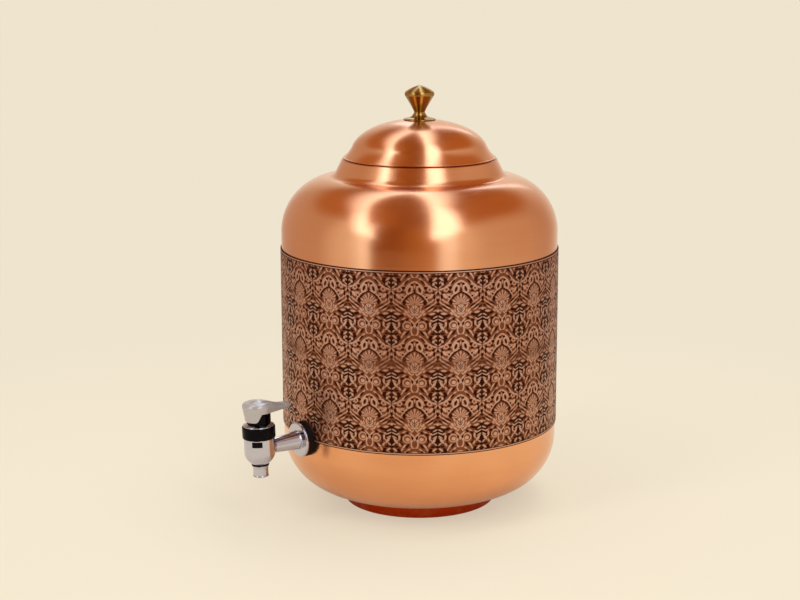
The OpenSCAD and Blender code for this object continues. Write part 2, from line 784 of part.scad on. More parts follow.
upper_shell();
lower_shell();
etched_band();
foot_ring();
lid_dome();
lid_collar();
knob();
knob_rosette();
knob_washer();
knob_screw();
tap_body();
outer_gasket();
inner_gasket();
lock_nut();
nozzle();
nozzle_oring();
collar_nut();
turret();
turret_oring();
valve_stem();
seat_cup();
return_spring();
spring_washer();
lever();
lever_pin();
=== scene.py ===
"""Copper water dispenser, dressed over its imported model.

Spun copper pot and lid, etched sleeve, brass knob and a chrome tap with a press lever.
"""

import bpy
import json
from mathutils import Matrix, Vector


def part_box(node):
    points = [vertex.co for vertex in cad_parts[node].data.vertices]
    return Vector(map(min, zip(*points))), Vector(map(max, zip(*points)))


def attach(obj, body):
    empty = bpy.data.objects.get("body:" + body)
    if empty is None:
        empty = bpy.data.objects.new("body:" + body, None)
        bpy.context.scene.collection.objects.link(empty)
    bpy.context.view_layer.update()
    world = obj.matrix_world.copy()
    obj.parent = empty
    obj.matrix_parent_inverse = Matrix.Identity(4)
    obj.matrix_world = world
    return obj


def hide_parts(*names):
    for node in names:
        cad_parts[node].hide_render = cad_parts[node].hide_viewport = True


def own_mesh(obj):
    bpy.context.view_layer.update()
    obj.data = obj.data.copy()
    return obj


bl_info = {
    "name": "Copper Water Dispenser",
    "version": (1, 0, 0),
    "blender": (4, 5, 0),
    "location": "View3D > Sidebar > Dispenser",
    "description": "Builds the smooth pieces, the finishes and the stage of a copper water dispenser",
    "category": "Object",
}

import json
import math

import bmesh
import bpy
from bpy.props import FloatProperty, FloatVectorProperty, IntProperty, PointerProperty
from mathutils import Matrix, Vector

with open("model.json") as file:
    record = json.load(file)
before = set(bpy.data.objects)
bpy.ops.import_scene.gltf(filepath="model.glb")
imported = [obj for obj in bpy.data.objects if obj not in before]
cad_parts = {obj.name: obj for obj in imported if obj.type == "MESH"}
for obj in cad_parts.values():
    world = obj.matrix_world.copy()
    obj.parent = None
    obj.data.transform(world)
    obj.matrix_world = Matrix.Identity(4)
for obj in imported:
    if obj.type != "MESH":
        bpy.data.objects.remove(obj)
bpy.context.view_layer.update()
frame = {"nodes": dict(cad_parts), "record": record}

RECORD = frame["record"]
BODY_OF = {node: body for body, nodes in RECORD["behaviour"]["bodies"].items() for node in nodes}
SLOT_OF = {part["node"]: part["material_slot"] for part in RECORD["subparts"]}

# Fits that several pieces share, in metres: the gap between mated pieces, the depth to which one piece sinks
# into the next, the radius of the hole for the knob's screw, and the valve seat's level on the tap's axis
FIT = 0.00005
SUNK = 0.00003
SCREW_HOLE = 0.0027
VALVE_SEAT = -0.0088


def low(node):
    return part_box(node)[0]


def high(node):
    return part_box(node)[1]


def length(name, description, default):
    """A size in metres that a user can change."""
    return FloatProperty(
        name=name, description=description, default=default, min=0, precision=5, unit="LENGTH"
    )


def turn(name, description, degrees):
    """An angle that a user can change."""
    return FloatProperty(
        name=name, description=description, default=math.radians(degrees), subtype="ANGLE"
    )


def share(name, description, default):
    """A share from 0 to 1 that a user can change."""
    return FloatProperty(
        name=name, description=description, default=default, min=0, max=1, subtype="FACTOR"
    )


def tint(name, description, default):
    """A linear colour that a user can change."""
    return FloatVectorProperty(
        name=name, description=description, default=default, size=3, min=0, max=1, subtype="COLOR"
    )


# Sizes and colours that a user would change

class PotSizes(bpy.types.PropertyGroup):
    """Sizes of the pot and its foot ring."""

    wall_radius: length("Wall radius", "Outer radius of the straight wall", high("upper_shell").x)
    sheet: length("Sheet", "Thickness of the spun copper", 0.001)
    wall_foot: length("Wall foot", "Height at which the straight wall begins", 0.056)
    wall_top: length("Wall top", "Height at which the straight wall ends", 0.220)
    bowl_round: length("Bowl round", "Radius of the round under the wall", 0.044)
    shoulder_round: length("Shoulder round", "Radius of the round above the wall", 0.044)
    joggle: length("Joggle", "Height of the step under the lap seam", 0.003)
    neck_radius: length("Neck radius", "Outer radius of the neck's upper corner", 0.06095)
    neck_lean: turn("Neck lean", "Lean of the neck's cone from upright", 26.5)
    neck_fillet: length("Neck fillet", "Radius of the hollow between shoulder and neck", 0.0075)
    lip_round: length("Lip round", "Radius of the lip's outer edge", 0.0016)
    lip_width: length("Lip width", "Width of the inturned lip", 0.00335)
    foot_radius: length("Foot radius", "Outer radius at the bottom of the foot ring", 0.0606)
    foot_flare: length("Foot flare", "Outward lean of the foot's wall from bottom to top", 0.0014)
    foot_wall: length("Foot wall", "Thickness of the foot's wall", 0.0015)
    foot_roll: length("Foot roll", "Width of the foot's rolled lower edge", 0.0032)


class LidSizes(bpy.types.PropertyGroup):
    """Sizes of the lid, its rosette and its knob."""

    sheet: length("Lid sheet", "Thickness of the lid's copper", 0.0009)
    brim_roll: length("Brim roll", "Thickness of the brim's rolled edge", 0.0012)
    dome_radius: length("Dome radius", "Radius of the dome at its foot", 0.0542)
    dome_sink: length("Dome sink", "Depth of the dome's widest circle below the flare's top", 0.0019)
    flare_slope: turn("Flare slope", "Slope of the flare between brim and dome", 45)
    flare_blend: length("Flare blend", "Length over which the flare blends into the dome", 0.0050)
    rosette_rim: length("Rosette rim", "Thickness of the rosette's rim", 0.0007)
    rosette_flat: length("Rosette flat", "Width of the flat rim round the rosette", 0.0019)
    boss_radius: length("Boss radius", "Radius of the rosette's boss", 0.0047)
    knob_waist: length("Knob waist", "Radius of the knob's waist", 0.0043)
    knob_edge: length("Knob edge", "Height of the knob's widest circle above the rosette", 0.015)
    knob_round: length("Knob round", "Radius of the round at the knob's widest circle", 0.0028)


class TapSizes(bpy.types.PropertyGroup):
    """Sizes of the tap, along its barrel's axis from the level of its stem."""

    height: length("Tap height", "Height of the stem where it meets the sleeve", 0.0667)
    tilt: turn("Tilt", "Downward tilt of the stem", 2)
    reach: length("Reach", "Distance from the sleeve to the barrel's axis", 0.040)
    barrel_radius: length("Barrel radius", "Radius of the barrel", 0.01185)
    barrel_up: length("Barrel up", "Height of the barrel above the stem's axis", 0.0094)
    barrel_straight: length("Barrel straight", "Depth at which the barrel starts to taper", 0.0026)
    barrel_down: length("Barrel down", "Depth of the barrel below the stem's axis", 0.0112)
    barrel_end: length("Barrel end", "Radius of the barrel's lower end", 0.0068)
    chamber_radius: length("Chamber radius", "Radius of the water chamber", 0.008)
    thread_top: length("Thread top", "Level of the top of the barrel's thread", 0.014)
    thread_radius: length("Thread radius", "Radius of the barrel's thread", 0.0099)
    stem_radius: length("Stem radius", "Radius of the stem at the barrel", 0.0056)
    stem_root: length("Stem root", "Radius of the stem at the flange", 0.0074)
    stem_fillet: length("Stem fillet", "Radius of the hollow between stem and barrel", 0.0016)
    water_radius: length("Water radius", "Radius of the stem's bore", 0.004)
    flange_radius: length("Flange radius", "Radius of the flange", 0.01375)
    flange_depth: length("Flange depth", "Thickness of the flange", 0.0022)
    gasket_depth: length("Gasket depth", "Depth of the gasket in front of the sleeve", 0.004)
    shank_radius: length("Shank radius", "Radius of the threaded shank", 0.008)
    shank_end: length("Shank end", "Depth of the shank behind the sleeve's face", 0.0139)
    ring_depth: length("Ring depth", "Thickness of the ring over the nozzle", 0.0015)
    nozzle_height: length("Nozzle height", "Height of the nozzle below its ring", 0.009)
    nozzle_radius: length("Nozzle radius", "Outer radius of the nozzle", 0.0058)
    nozzle_bore: length("Nozzle bore", "Radius of the nozzle's bore", 0.0034)
    collar_radius: length("Collar radius", "Radius of the black collar nut", 0.0127)
    collar_height: length("Collar height", "Height of the black collar nut", 0.0094)
    collar_eye: length("Collar eye", "Radius of the hole in the collar nut", 0.0085)
    inlay_width: length("Inlay width", "Width of the bare black inlay under the collar nut", 0.0080)
    inlay_height: length("Inlay height", "Height of the bare black inlay", 0.0044)
    inlay_turn: turn("Inlay turn", "Direction in which the inlay faces, from the tap's front", 52)


class LeverSizes(bpy.types.PropertyGroup):
    """Sizes of the press lever, along the barrel's axis from the level of the stem."""

    under: length("Underside", "Level of the lever's flat underside", 0.0298)
    crease: length("Crease", "Level of the crease round the head", 0.0335)
    top: length("Top", "Level of the head's top", 0.0389)
    head_radius: length("Head radius", "Radius of the round head", 0.01175)
    reach: length("Lever reach", "Distance from the barrel's axis to the lever's tip", 0.0283)
    tip_radius: length("Tip radius", "Half of the tip's width", 0.0065)
    tip_under: length("Tip underside", "Level of the tip's underside", 0.0297)
    tip_depth: length("Tip depth", "Thickness of the tip", 0.0034)
    edge_round: length("Edge round", "Height of the round along the upper edges", 0.0024)
    dome: share("Dome", "Share of the way to its spine over which the lever's top rounds up", 0.4)
    crown: length("Crown", "Swell of the lever's top between its edges", 0.0016)
    skirt_foot: length("Skirt foot", "Level of the skirt's lower edge", 0.0231)
    skirt_radius: length("Skirt radius", "Radius of the skirt's lower edge", 0.010)
    skirt_sheet: length("Skirt sheet", "Thickness of the skirt", 0.0012)
    skirt_cut: length("Skirt cut", "Distance in front of the axis at which the skirt ends below", 0.0056)
    skirt_lean: length("Skirt lean", "Lean of the skirt's end back towards the tip", 0.0029)
    skirt_corner: length("Skirt corner", "Radius of the skirt's lower corners", 0.0016)
    pin_level: length("Pin level", "Level of the cross pin", 0.0315)
    pin_radius: length("Pin radius", "Radius of the cross pin's hole", 0.00125)


class Finishes(bpy.types.PropertyGroup):
    """Colours and patterns of the finishes."""

    copper: tint("Copper", "Colour of the spun copper", (0.82, 0.40, 0.20))
    copper_deep: tint("Deep copper", "Colour of the copper's darker patches", (0.73, 0.31, 0.135))
    etch_light: tint("Etched copper", "Colour of the raised pattern", (0.70, 0.395, 0.275))
    etch_dark: tint(
        "Etch filling", "Colour of the dark filling in the pattern's gaps", (0.024, 0.0035, 0.001)
    )
    etch_ground: tint("Etched ground", "Colour of the hatched ground of the pattern", (0.27, 0.088, 0.037))
    brass: tint("Brass", "Colour of the knob and rosette", (0.38, 0.225, 0.054))
    chrome: tint("Chrome", "Colour of the tap's plating", (0.53, 0.525, 0.61))
    black: tint("Black", "Colour of the collar nut and turret", (0.0025, 0.0022, 0.0025))
    rubber: tint("Rubber", "Colour of the gaskets and rings", (0.007, 0.0045, 0.004))
    satin: tint("Satin chrome", "Colour of the lever's dull plating", (0.41, 0.385, 0.38))
    # The foot ring's dark colour is painted shade
    tarnish: tint("Tarnish", "Colour of the darkened foot ring", (0.47, 0.045, 0.006))
    # The seam's dark line is a painted shadow in the gap under the lid's brim
    seam: tint("Seam", "Colour of the dark line in the seam under the brim", (0.38, 0.085, 0.022))
    silicone: tint("Silicone", "Colour of the seat cup", (0.66, 0.63, 0.56))
    steel: tint("Steel", "Colour of the screw, pin, stem and spring", (0.58, 0.57, 0.56))
    columns: IntProperty(
        name="Columns", description="Columns of the pattern round the sleeve", default=20, min=1
    )
    row: length("Row", "Height of one row of the pattern", 0.0435)
    row_start: length("Row start", "Height of the lowest palmette's centre", 0.0952)
    column_turn: turn("Column turn", "Direction of one column of palmettes, from the tap", 52.3)


class StageSettings(bpy.types.PropertyGroup):
    """Camera, floor and light."""

    azimuth: turn("Camera azimuth", "Direction of the camera, from the tap round to the right", 54.2)
    distance: length("Camera distance", "Level distance from the pot's axis to the camera", 1.342)
    height: length("Camera height", "Height of the camera above the floor", 0.4457)
    target: length("Target height", "Height of the point on the axis that the camera looks at", 0.1628)
    lens: FloatProperty(name="Lens", description="Focal length", default=76.94, unit="CAMERA")
    shift: FloatProperty(
        name="Shift", description="Sideways shift of the picture", default=-0.0244, precision=4
    )
    backdrop: tint("Backdrop", "Colour of floor and background", (0.863, 0.776, 0.617))


class Dispenser(bpy.types.PropertyGroup):
    """All settings of the dispenser."""

    pot: PointerProperty(type=PotSizes, name="Pot", description="Sizes of the pot")
    lid: PointerProperty(type=LidSizes, name="Lid", description="Sizes of lid and knob")
    tap: PointerProperty(type=TapSizes, name="Tap", description="Sizes of the tap")
    lever: PointerProperty(type=LeverSizes, name="Lever", description="Sizes of the lever")
    finish: PointerProperty(type=Finishes, name="Finishes", description="Colours and patterns")
    stage: PointerProperty(type=StageSettings, name="Stage", description="Camera, floor and light")


# Outlines in the half plane of radius and height

def arc(centre, radius, start, end, steps=24):
    """Points on an arc between two angles in degrees."""
    turns = [math.radians(start + (end - start) * i / steps) for i in range(steps + 1)]
    return [(centre[0] + radius * math.cos(t), centre[1] + radius * math.sin(t)) for t in turns]


def bend(a, b, c, steps=16):
    """Points on a curve from a to c that leaves and arrives along the lines to b."""
    points = []
    for i in range(steps + 1):
        t = i / steps
        points.append(tuple((1 - t) ** 2 * a[k] + 2 * t * (1 - t) * b[k] + t * t * c[k] for k in (0, 1)))
    return points


def line(a, b, steps):
    """Points on a straight line, both ends included."""
    return [tuple(a[k] + (b[k] - a[k]) * i / steps for k in (0, 1)) for i in range(steps + 1)]


def rounded(points, radius, steps=6):
    """A line of points whose inner corners are rounded."""
    path = [points[0]]
    for before, corner, after in zip(points, points[1:], points[2:]):
        here = Vector(corner)
        to_before, to_after = Vector(before) - here, Vector(after) - here
        cut = min(radius, to_before.length / 2, to_after.length / 2)
        path += bend(here + cut * to_before.normalized(), here, here + cut * to_after.normalized(), steps)
    return path + [points[-1]]


def bowl_curve(pot, depth):
    """The pot's bottom and lower round, a depth inside the skin, from the axis to the wall."""
    centre = pot.wall_radius - pot.bowl_round, pot.wall_foot
    foot = pot.wall_foot - pot.bowl_round + depth
    return line((0, foot), (centre[0], foot), 12)[:-1] + arc(centre, pot.bowl_round - depth, -90, 0, 40)


def shoulder_curve(pot, depth):
    """The pot's shoulder, neck and lip, a depth inside the skin, from the wall to the mouth."""
    centre = Vector((pot.wall_radius - pot.shoulder_round, pot.wall_top))
    lip = high("upper_shell").z
    lean = pot.neck_lean
    out, up = Vector((math.cos(lean), math.sin(lean))), Vector((-math.sin(lean), math.cos(lean)))
    corner = Vector((pot.neck_radius, lip))
    away = corner + pot.neck_fillet * out - centre
    along = away.dot(up)
    slide = -along + math.sqrt(along**2 - away.dot(away) + (pot.shoulder_round + pot.neck_fillet) ** 2)
    hollow = corner + pot.neck_fillet * out + slide * up
    meet = math.degrees(math.atan2(*(hollow - centre).yx))
    lip_in = pot.lip_round * (1 - math.sin(lean)) / math.cos(lean)
    lip_centre = corner - Vector((lip_in, pot.lip_round))
    degrees = math.degrees(lean)
    cone_foot = arc(hollow, pot.neck_fillet + depth, meet + 180, degrees + 180, 16)
    lip_edge = arc(lip_centre, pot.lip_round - depth, degrees, 90, 10)
    return (
        arc(centre, pot.shoulder_round - depth, 0, meet, 48) + cone_foot
        + line(cone_foot[-1], lip_edge[0], 4)[1:-1] + lip_edge
        + [(pot.neck_radius - pot.lip_width, lip - depth)]
    )


# Meshes

def new_piece(name, mesh):
    """Links a mesh to the scene as a piece."""
    piece = bpy.data.objects.new(name, mesh)
    bpy.context.collection.objects.link(piece)
    return piece


def smooth(mesh, degrees):
    """Shades a mesh smooth, with an edge where two faces meet at more than this angle."""
    mesh.polygons.foreach_set("use_smooth", [True] * len(mesh.polygons))
    mesh.set_sharp_from_angle(angle=math.radians(degrees))


def skin(name, rows, ring=True, loop=False, caps=False, edge=30, place=None):
    """A piece from rows of points, joined row to row. A row of one point is a pole.

    ring joins the ends of each row, loop the last row to the first, and caps closes the end rows.
    edge is the angle in degrees above which an edge stays sharp.
    """
    shape = bmesh.new()
    made = [[shape.verts.new(point) for point in row] for row in rows]
    for a, b in zip(made, made[1:] + made[:1] if loop else made[1:]):
        count = max(len(a), len(b))
        if count == 1:
            continue
        for i in range(count if ring else count - 1):
            k = (i + 1) % count
            corners = [a[i % len(a)], a[k % len(a)], b[k % len(b)], b[i % len(b)]]
            shape.faces.new(list(dict.fromkeys(corners)))
    for row in (made[0], made[-1]) if caps else ():
        shape.faces.new(row)
    bmesh.ops.recalc_face_normals(shape, faces=shape.faces)
    if place:
        bmesh.ops.transform(shape, matrix=place, verts=shape.verts)
    mesh = bpy.data.meshes.new(name)
    shape.to_mesh(mesh)
    shape.free()
    smooth(mesh, edge)
    return new_piece(name, mesh)


def reworked(piece, work, edge):
    """A piece whose mesh is changed by a function of its bmesh, and shaded again."""
    shape = bmesh.new()
    shape.from_mesh(piece.data)
    work(shape)
    bmesh.ops.recalc_face_normals(shape, faces=shape.faces)
    shape.to_mesh(piece.data)
    shape.free()
    smooth(piece.data, edge)
    return piece


def spin(name, outline, steps=192, loop=True, edge=30, place=None):
    """A piece spun from a closed outline of radius and height round the upright axis."""
    tiny = 1e-7
    path = [p for i, p in enumerate(outline) if math.dist(p, outline[i - 1]) > tiny]
    turns = [2 * math.pi * i / steps for i in range(steps)]
    rows = [
        [(0, 0, z)] if r < tiny else [(r * math.cos(t), r * math.sin(t), z) for t in turns]
        for r, z in path
    ]
    return skin(name, rows, loop=loop, edge=edge, place=place)


def bore(piece, tool, edge=30):
    """Cuts a closed tool out of a piece and removes the tool."""
    cut = piece.modifiers.new("bore", "BOOLEAN")
    cut.operation, cut.solver, cut.object = "DIFFERENCE", "EXACT", tool
    whole = piece.evaluated_get(bpy.context.evaluated_depsgraph_get())
    mesh = bpy.data.meshes.new_from_object(whole)
    if len(mesh.polygons) <= len(piece.data.polygons) // 2:
        raise RuntimeError(f"cutting {piece.name} left too little of it")
    piece.modifiers.clear()
    piece.data = mesh
    smooth(mesh, edge)
    bpy.data.objects.remove(tool)


def seat(piece, *nodes):
    """Puts a piece in the place of CAD nodes, on their body, and hides the nodes."""
    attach(piece, BODY_OF[nodes[0]])
    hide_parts(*nodes)
    return piece


def join(piece, node):
    """Puts a further piece on a CAD node's body."""
    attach(piece, BODY_OF[node])
    return piece


def at_stem(settings):
    """The stem's frame: origin on the sleeve's face, +Y into the vessel."""
    reach = Matrix.Translation((0, -high("etched_band").x, settings.tap.height))
    return reach @ Matrix.Rotation(settings.tap.tilt, 4, "X")


def at_barrel(settings):
    """The barrel's frame, with +Z up along its axis."""
    return at_stem(settings) @ Matrix.Translation((0, -settings.tap.reach, 0))


LAY_ALONG_STEM = Matrix.Rotation(-math.pi / 2, 4, "X")


# Shader maths

class Flow:
    """A socket of a node tree, whose arithmetic adds Math nodes."""

    def __init__(self, tree, socket=None):
        self.tree, self.socket = tree, socket

    def add(self, kind, settings=None, sockets=None, out=0):
        """Adds any node: its settings first, then the values or links of its sockets."""
        node = self.tree.nodes.new(kind)
        for name, value in (settings or {}).items():
            if name == "stops":
                node.color_ramp.interpolation = "EASE"
                while len(node.color_ramp.elements) < len(value):
                    node.color_ramp.elements.new(1)
                for element, (place, colour) in zip(node.color_ramp.elements, value):
                    element.position, element.color = place, colour
            else:
                setattr(node, name, value)
        for name, value in (sockets or {}).items():
            if isinstance(value, Flow):
                self.tree.links.new(value.socket, node.inputs[name])
            else:
                node.inputs[name].default_value = value
        return Flow(self.tree, node.outputs[out] if len(node.outputs) else None)

    def out(self, name):
        """Another output of the node that this one comes from."""
        return Flow(self.tree, self.socket.node.outputs[name])

    def math(self, operation, *others):
        return self.add("ShaderNodeMath", {"operation": operation}, dict(enumerate((self, *others))))

    def __add__(self, other):
        return self.math("ADD", other)

    __radd__ = __add__

    def __mul__(self, other):
        return self.math("MULTIPLY", other)

    __rmul__ = __mul__

    def __sub__(self, other):
        return self.math("SUBTRACT", other)

    def __rsub__(self, other):
        return self.add("ShaderNodeMath", {"operation": "SUBTRACT"}, {0: other, 1: self})

    def __truediv__(self, other):
        return self.math("DIVIDE", other)

    def __rtruediv__(self, other):
        return self.add("ShaderNodeMath", {"operation": "DIVIDE"}, {0: other, 1: self})

    def __abs__(self):
        return self.math("ABSOLUTE")

    def least(self, other):
        return self.math("MINIMUM", other)

    def most(self, other):
        return self.math("MAXIMUM", other)

    def rise(self, start, end):
        """0 before start and 1 after end, with a smooth step between; start may be the larger."""
        return self.add(
            "ShaderNodeMapRange",
            {"interpolation_type": "SMOOTHSTEP"},
            {"Value": self, "From Min": start, "From Max": end},
        )

    def mix(self, colour_a, colour_b):
        """A colour from a to b by this share."""
        pair = {6: colour_a, 7: colour_b}
        ends = {k: v if isinstance(v, Flow) else (*v, 1) for k, v in pair.items()}
        return self.add("ShaderNodeMix", {"data_type": "RGBA"}, {0: self, **ends}, out=2)

    def bump(self, strength, depth):
        return self.add("ShaderNodeBump", None, {"Strength": strength, "Distance": depth, "Height": self})


class Spot:
    """Coordinates of a point on a piece, in metres in the shared frame."""

    def __init__(self, start):
        self.start = start
        self.place = start.add("ShaderNodeTexCoord", out="Object")
        parts = start.add("ShaderNodeSeparateXYZ", None, {0: self.place})
        self.x, self.y, self.z = parts.out("X"), parts.out("Y"), parts.out("Z")

    def noise(self, scale, detail=2, roughness=0.5):
        return self.start.add(
            "ShaderNodeTexNoise", None,
            {"Vector": self.place, "Scale": scale, "Detail": detail, "Roughness": roughness},
        )

    def radius(self):
        return (self.x * self.x + self.y * self.y).math("SQRT").most(1e-5)

    def lathe_lines(self, fineness, drift, detail=2):
        """Noise in rings round the upright axis, as a lathe leaves it, with a slow drift on the way."""
        radius = self.radius()
        across = self.start.add(
            "ShaderNodeCombineXYZ", None,
            {0: radius * fineness, 1: self.z * fineness, 2: self.x / radius * drift},
        )
        return self.start.add(
            "ShaderNodeTexNoise", {"noise_dimensions": "4D"},
            {"Vector": across, "W": self.y / radius * drift, "Scale": 1, "Detail": detail},
        )


def bare_tree(block):
    """The start of a material's or world's emptied node tree."""
    block.use_nodes = True
    block.node_tree.nodes.clear()
    return Flow(block.node_tree)


def toned(colour, strength):
    """A colour made darker."""
    return tuple(strength * part for part in colour)


def dusted(colour, grey):
    """A colour with a little grey added."""
    return tuple(part + grey for part in colour)


# Finishes

def paint_copper(spot, finish):
    """Spun copper: lathe lines, cloudy deeper patches, handling marks, a painted shadow line in the seam
    under the brim.
    """
    lines = spot.lathe_lines(fineness=1500, drift=2.5)
    broad = spot.lathe_lines(fineness=260, drift=1.2, detail=1)
    cloud = spot.noise(11, detail=3)
    marks = spot.noise(70, detail=4, roughness=0.65).rise(0.56, 0.74)
    patch = cloud.rise(0.38, 0.68)
    metal = (patch * 0.55 + broad * 0.25).mix(finish.copper, finish.copper_deep)
    # Painted shadow: a dark line round the brim's foot, where the lid's brim sits on the neck's lip
    seam = abs(spot.z - low("lid_dome").z).rise(0.0010, 0.0005)
    return {
        "Base Color": (seam * (0.6 + cloud * 0.4)).mix(metal, finish.seam),
        "Roughness": 0.15 + lines * 0.10 + marks * 0.04 + patch * 0.03,
        "Normal": (lines + broad * 0.6).bump(strength=0.10, depth=0.00006),
    }


# Ornaments of one mirrored half of a pattern cell, in millimetres: right of the palmette's axis and up from
# its centre. Petals have their turns from upright, their distance from the centre, and their half length
# and half width. Leaves hold (x, y, half length, half width, tilt in degrees).
PETAL_TURNS, PETAL_AWAY, PETAL_SIZE = (0, 22, 43, 64, 85), 4.2, (2.7, 0.4)
LEAVES = (
    (0, 6.6, 1.1, 0.7, 90), (2.7, 5.2, 0.9, 0.5, 62), (5.2, 2.6, 1.0, 0.7, 35),
    (0, -3.5, 3.3, 3.1, 90), (4.6, -1.6, 1.5, 0.6, 62), (0, -7.4, 1.2, 0.7, 0),
    (3.9, -8.2, 2.3, 0.75, 42), (6.2, -5.2, 1.8, 0.9, 50), (4.3, -4.9, 1.5, 0.5, 70),
    (1.6, -9.6, 1.5, 0.5, -45), (2.0, -12.6, 2.4, 0.65, 46), (0, -15.4, 1.9, 0.55, 90),
    (5.2, -16.1, 1.6, 1.4, 0), (1.4, 17.0, 1.9, 0.65, -25), (4.2, 15.0, 2.4, 0.7, -42),
    (6.4, 12.3, 1.9, 0.65, -65), (4.4, 19.5, 1.8, 0.6, -40), (7.9, 16.2, 2.9, 0.7, -43),
    (11.2, 13.4, 2.3, 0.7, -35), (14.6, 11.8, 2.2, 0.65, -18), (0, 13.9, 1.2, 0.5, 90),
    (9.3, 14.3, 1.5, 0.45, 5), (2.6, 9.0, 1.6, 0.5, -30), (6.8, 6.6, 2.1, 0.55, -44),
    (9.0, 3.5, 1.8, 0.55, -50), (9.9, 7.6, 2.2, 0.5, -10), (12.2, 6.6, 2.2, 1.1, 50),
    (11.0, 1.7, 1.8, 0.5, 35), (13.3, 3.2, 1.8, 0.5, 50), (9.9, -2.3, 2.3, 0.5, 30),
    (12.1, -3.8, 2.3, 0.5, 32), (13.6, 0.2, 2.1, 0.45, 28), (15.6, 5.0, 1.5, 0.5, 75),
    (16.0, 9.2, 1.4, 0.5, 60), (15.6, 1.8, 1.3, 0.5, 55), (17.35, 5.6, 1.0, 0.6, 90),
    (13.0, -6.8, 2.1, 0.8, 8), (17.35, -4.5, 1.2, 1.0, 0), (15.4, -4.4, 1.2, 0.4, 20),
    (15.3, -11.7, 1.9, 0.6, 25), (12.6, -12.0, 1.5, 0.6, -30), (11.5, -14.6, 1.9, 0.75, 85),
    (14.5, -17.2, 2.8, 0.95, 52), (15.4, -14.4, 1.9, 0.5, 28), (15.6, -20.0, 1.5, 0.5, -40),
    (7.9, -21.6, 2.0, 0.7, -50), (11.2, -20.4, 1.5, 0.6, 60), (8.0, -10.4, 1.5, 0.5, -25),
    (14.0, 15.6, 1.2, 0.9, 70), (14.9, 19.2, 1.9, 0.7, 40), (9.4, 19.6, 1.6, 0.5, -60),
    (13.1, 10.2, 1.3, 0.4, -50), (12.4, -16.8, 1.2, 0.4, -60), (7.0, -13.2, 1.4, 0.4, -50),
    (1.9, -7.2, 1.5, 0.6, 25), (7.2, -6.9, 1.4, 0.7, 40), (15.5, -9.2, 1.8, 0.5, 28),
    (15.8, 13.3, 1.4, 0.45, -38), (15.9, 16.6, 1.4, 0.45, -38),
)
# Rings hold (x, y, half width, half height, tilt in degrees, stroke).
RINGS = (
    (3.7, 11.3, 1.9, 3.1, 21, 1.0), (11.1, 11.5, 1.5, 1.5, 0, 0.7), (5.5, -15.7, 3.1, 2.9, 0, 0.7),
    (0, -19.6, 2.6, 4.0, 0, 0.9), (8.9, 5.7, 1.3, 1.3, 0, 0.6),
)
# Dark spots hold the same as leaves and lie on top of all.
SPOTS = (
    (11.7, 18.5, 2.0, 1.2, 60), (12.3, 16.4, 1.1, 0.7, 80), (17.35, 14.9, 2.3, 0.8, 90),
    (6.1, 17.0, 2.0, 0.6, -46), (1.9, 15.1, 0.9, 0.75, 0), (3.8, 11.4, 1.8, 0.65, -69),
    (0, 10.0, 1.5, 0.5, 90), (1.6, 8.5, 1.5, 0.5, -33), (3.8, 7.2, 1.6, 0.55, -35),
    (5.9, 5.3, 1.8, 0.65, -45), (7.7, 1.9, 2.0, 1.1, 82), (8.0, 12.7, 1.2, 1.0, 20),
    (9.0, 9.7, 1.2, 0.6, 12), (13.8, 9.3, 1.0, 0.8, 60), (14.6, 6.0, 1.6, 0.85, 90),
    (8.9, 5.7, 0.7, 0.6, 0), (17.35, 8.4, 0.9, 0.7, 90), (17.35, 3.4, 1.3, 0.9, 90),
    (17.35, 0.6, 1.2, 0.7, 0), (9.4, -1.1, 2.2, 0.5, 28), (12.2, -2.2, 2.3, 0.5, 33),
    (15.4, -2.4, 1.5, 0.5, 30), (17.35, -7.3, 1.0, 0.8, 90), (10.2, -8.4, 2.2, 0.95, -14),
    (15.6, -10.5, 1.9, 0.5, 27), (17.35, -12.6, 1.2, 0.8, 90), (15.0, -13.1, 2.3, 0.55, 28),
    (17.35, -17.2, 1.9, 1.6, 90), (17.35, -22.2, 1.5, 0.9, 0), (5.5, -11.0, 1.2, 0.7, -40),
    (9.3, -12.6, 1.3, 0.85, -30), (10.1, -16.4, 2.3, 0.6, -84), (1.8, -14.9, 1.4, 0.65, 72),
    (5.6, -21.5, 2.1, 0.75, -48), (13.6, -22.0, 1.3, 0.7, 0), (9.2, -19.8, 1.1, 0.5, 50),
    (1.3, -2.9, 1.5, 0.22, 52), (0, -3.6, 2.0, 0.2, 90), (1.0, -5.0, 1.2, 0.2, 52),
    (12.8, -9.6, 1.3, 0.6, 60),
)
# Lozenges between the palmettes, whose ground is nearly as dark as the filling.
LOZENGES = ((17.35, -13.5, 9.5, 5.8, 90), (17.35, 15.4, 5.4, 4.4, 0))


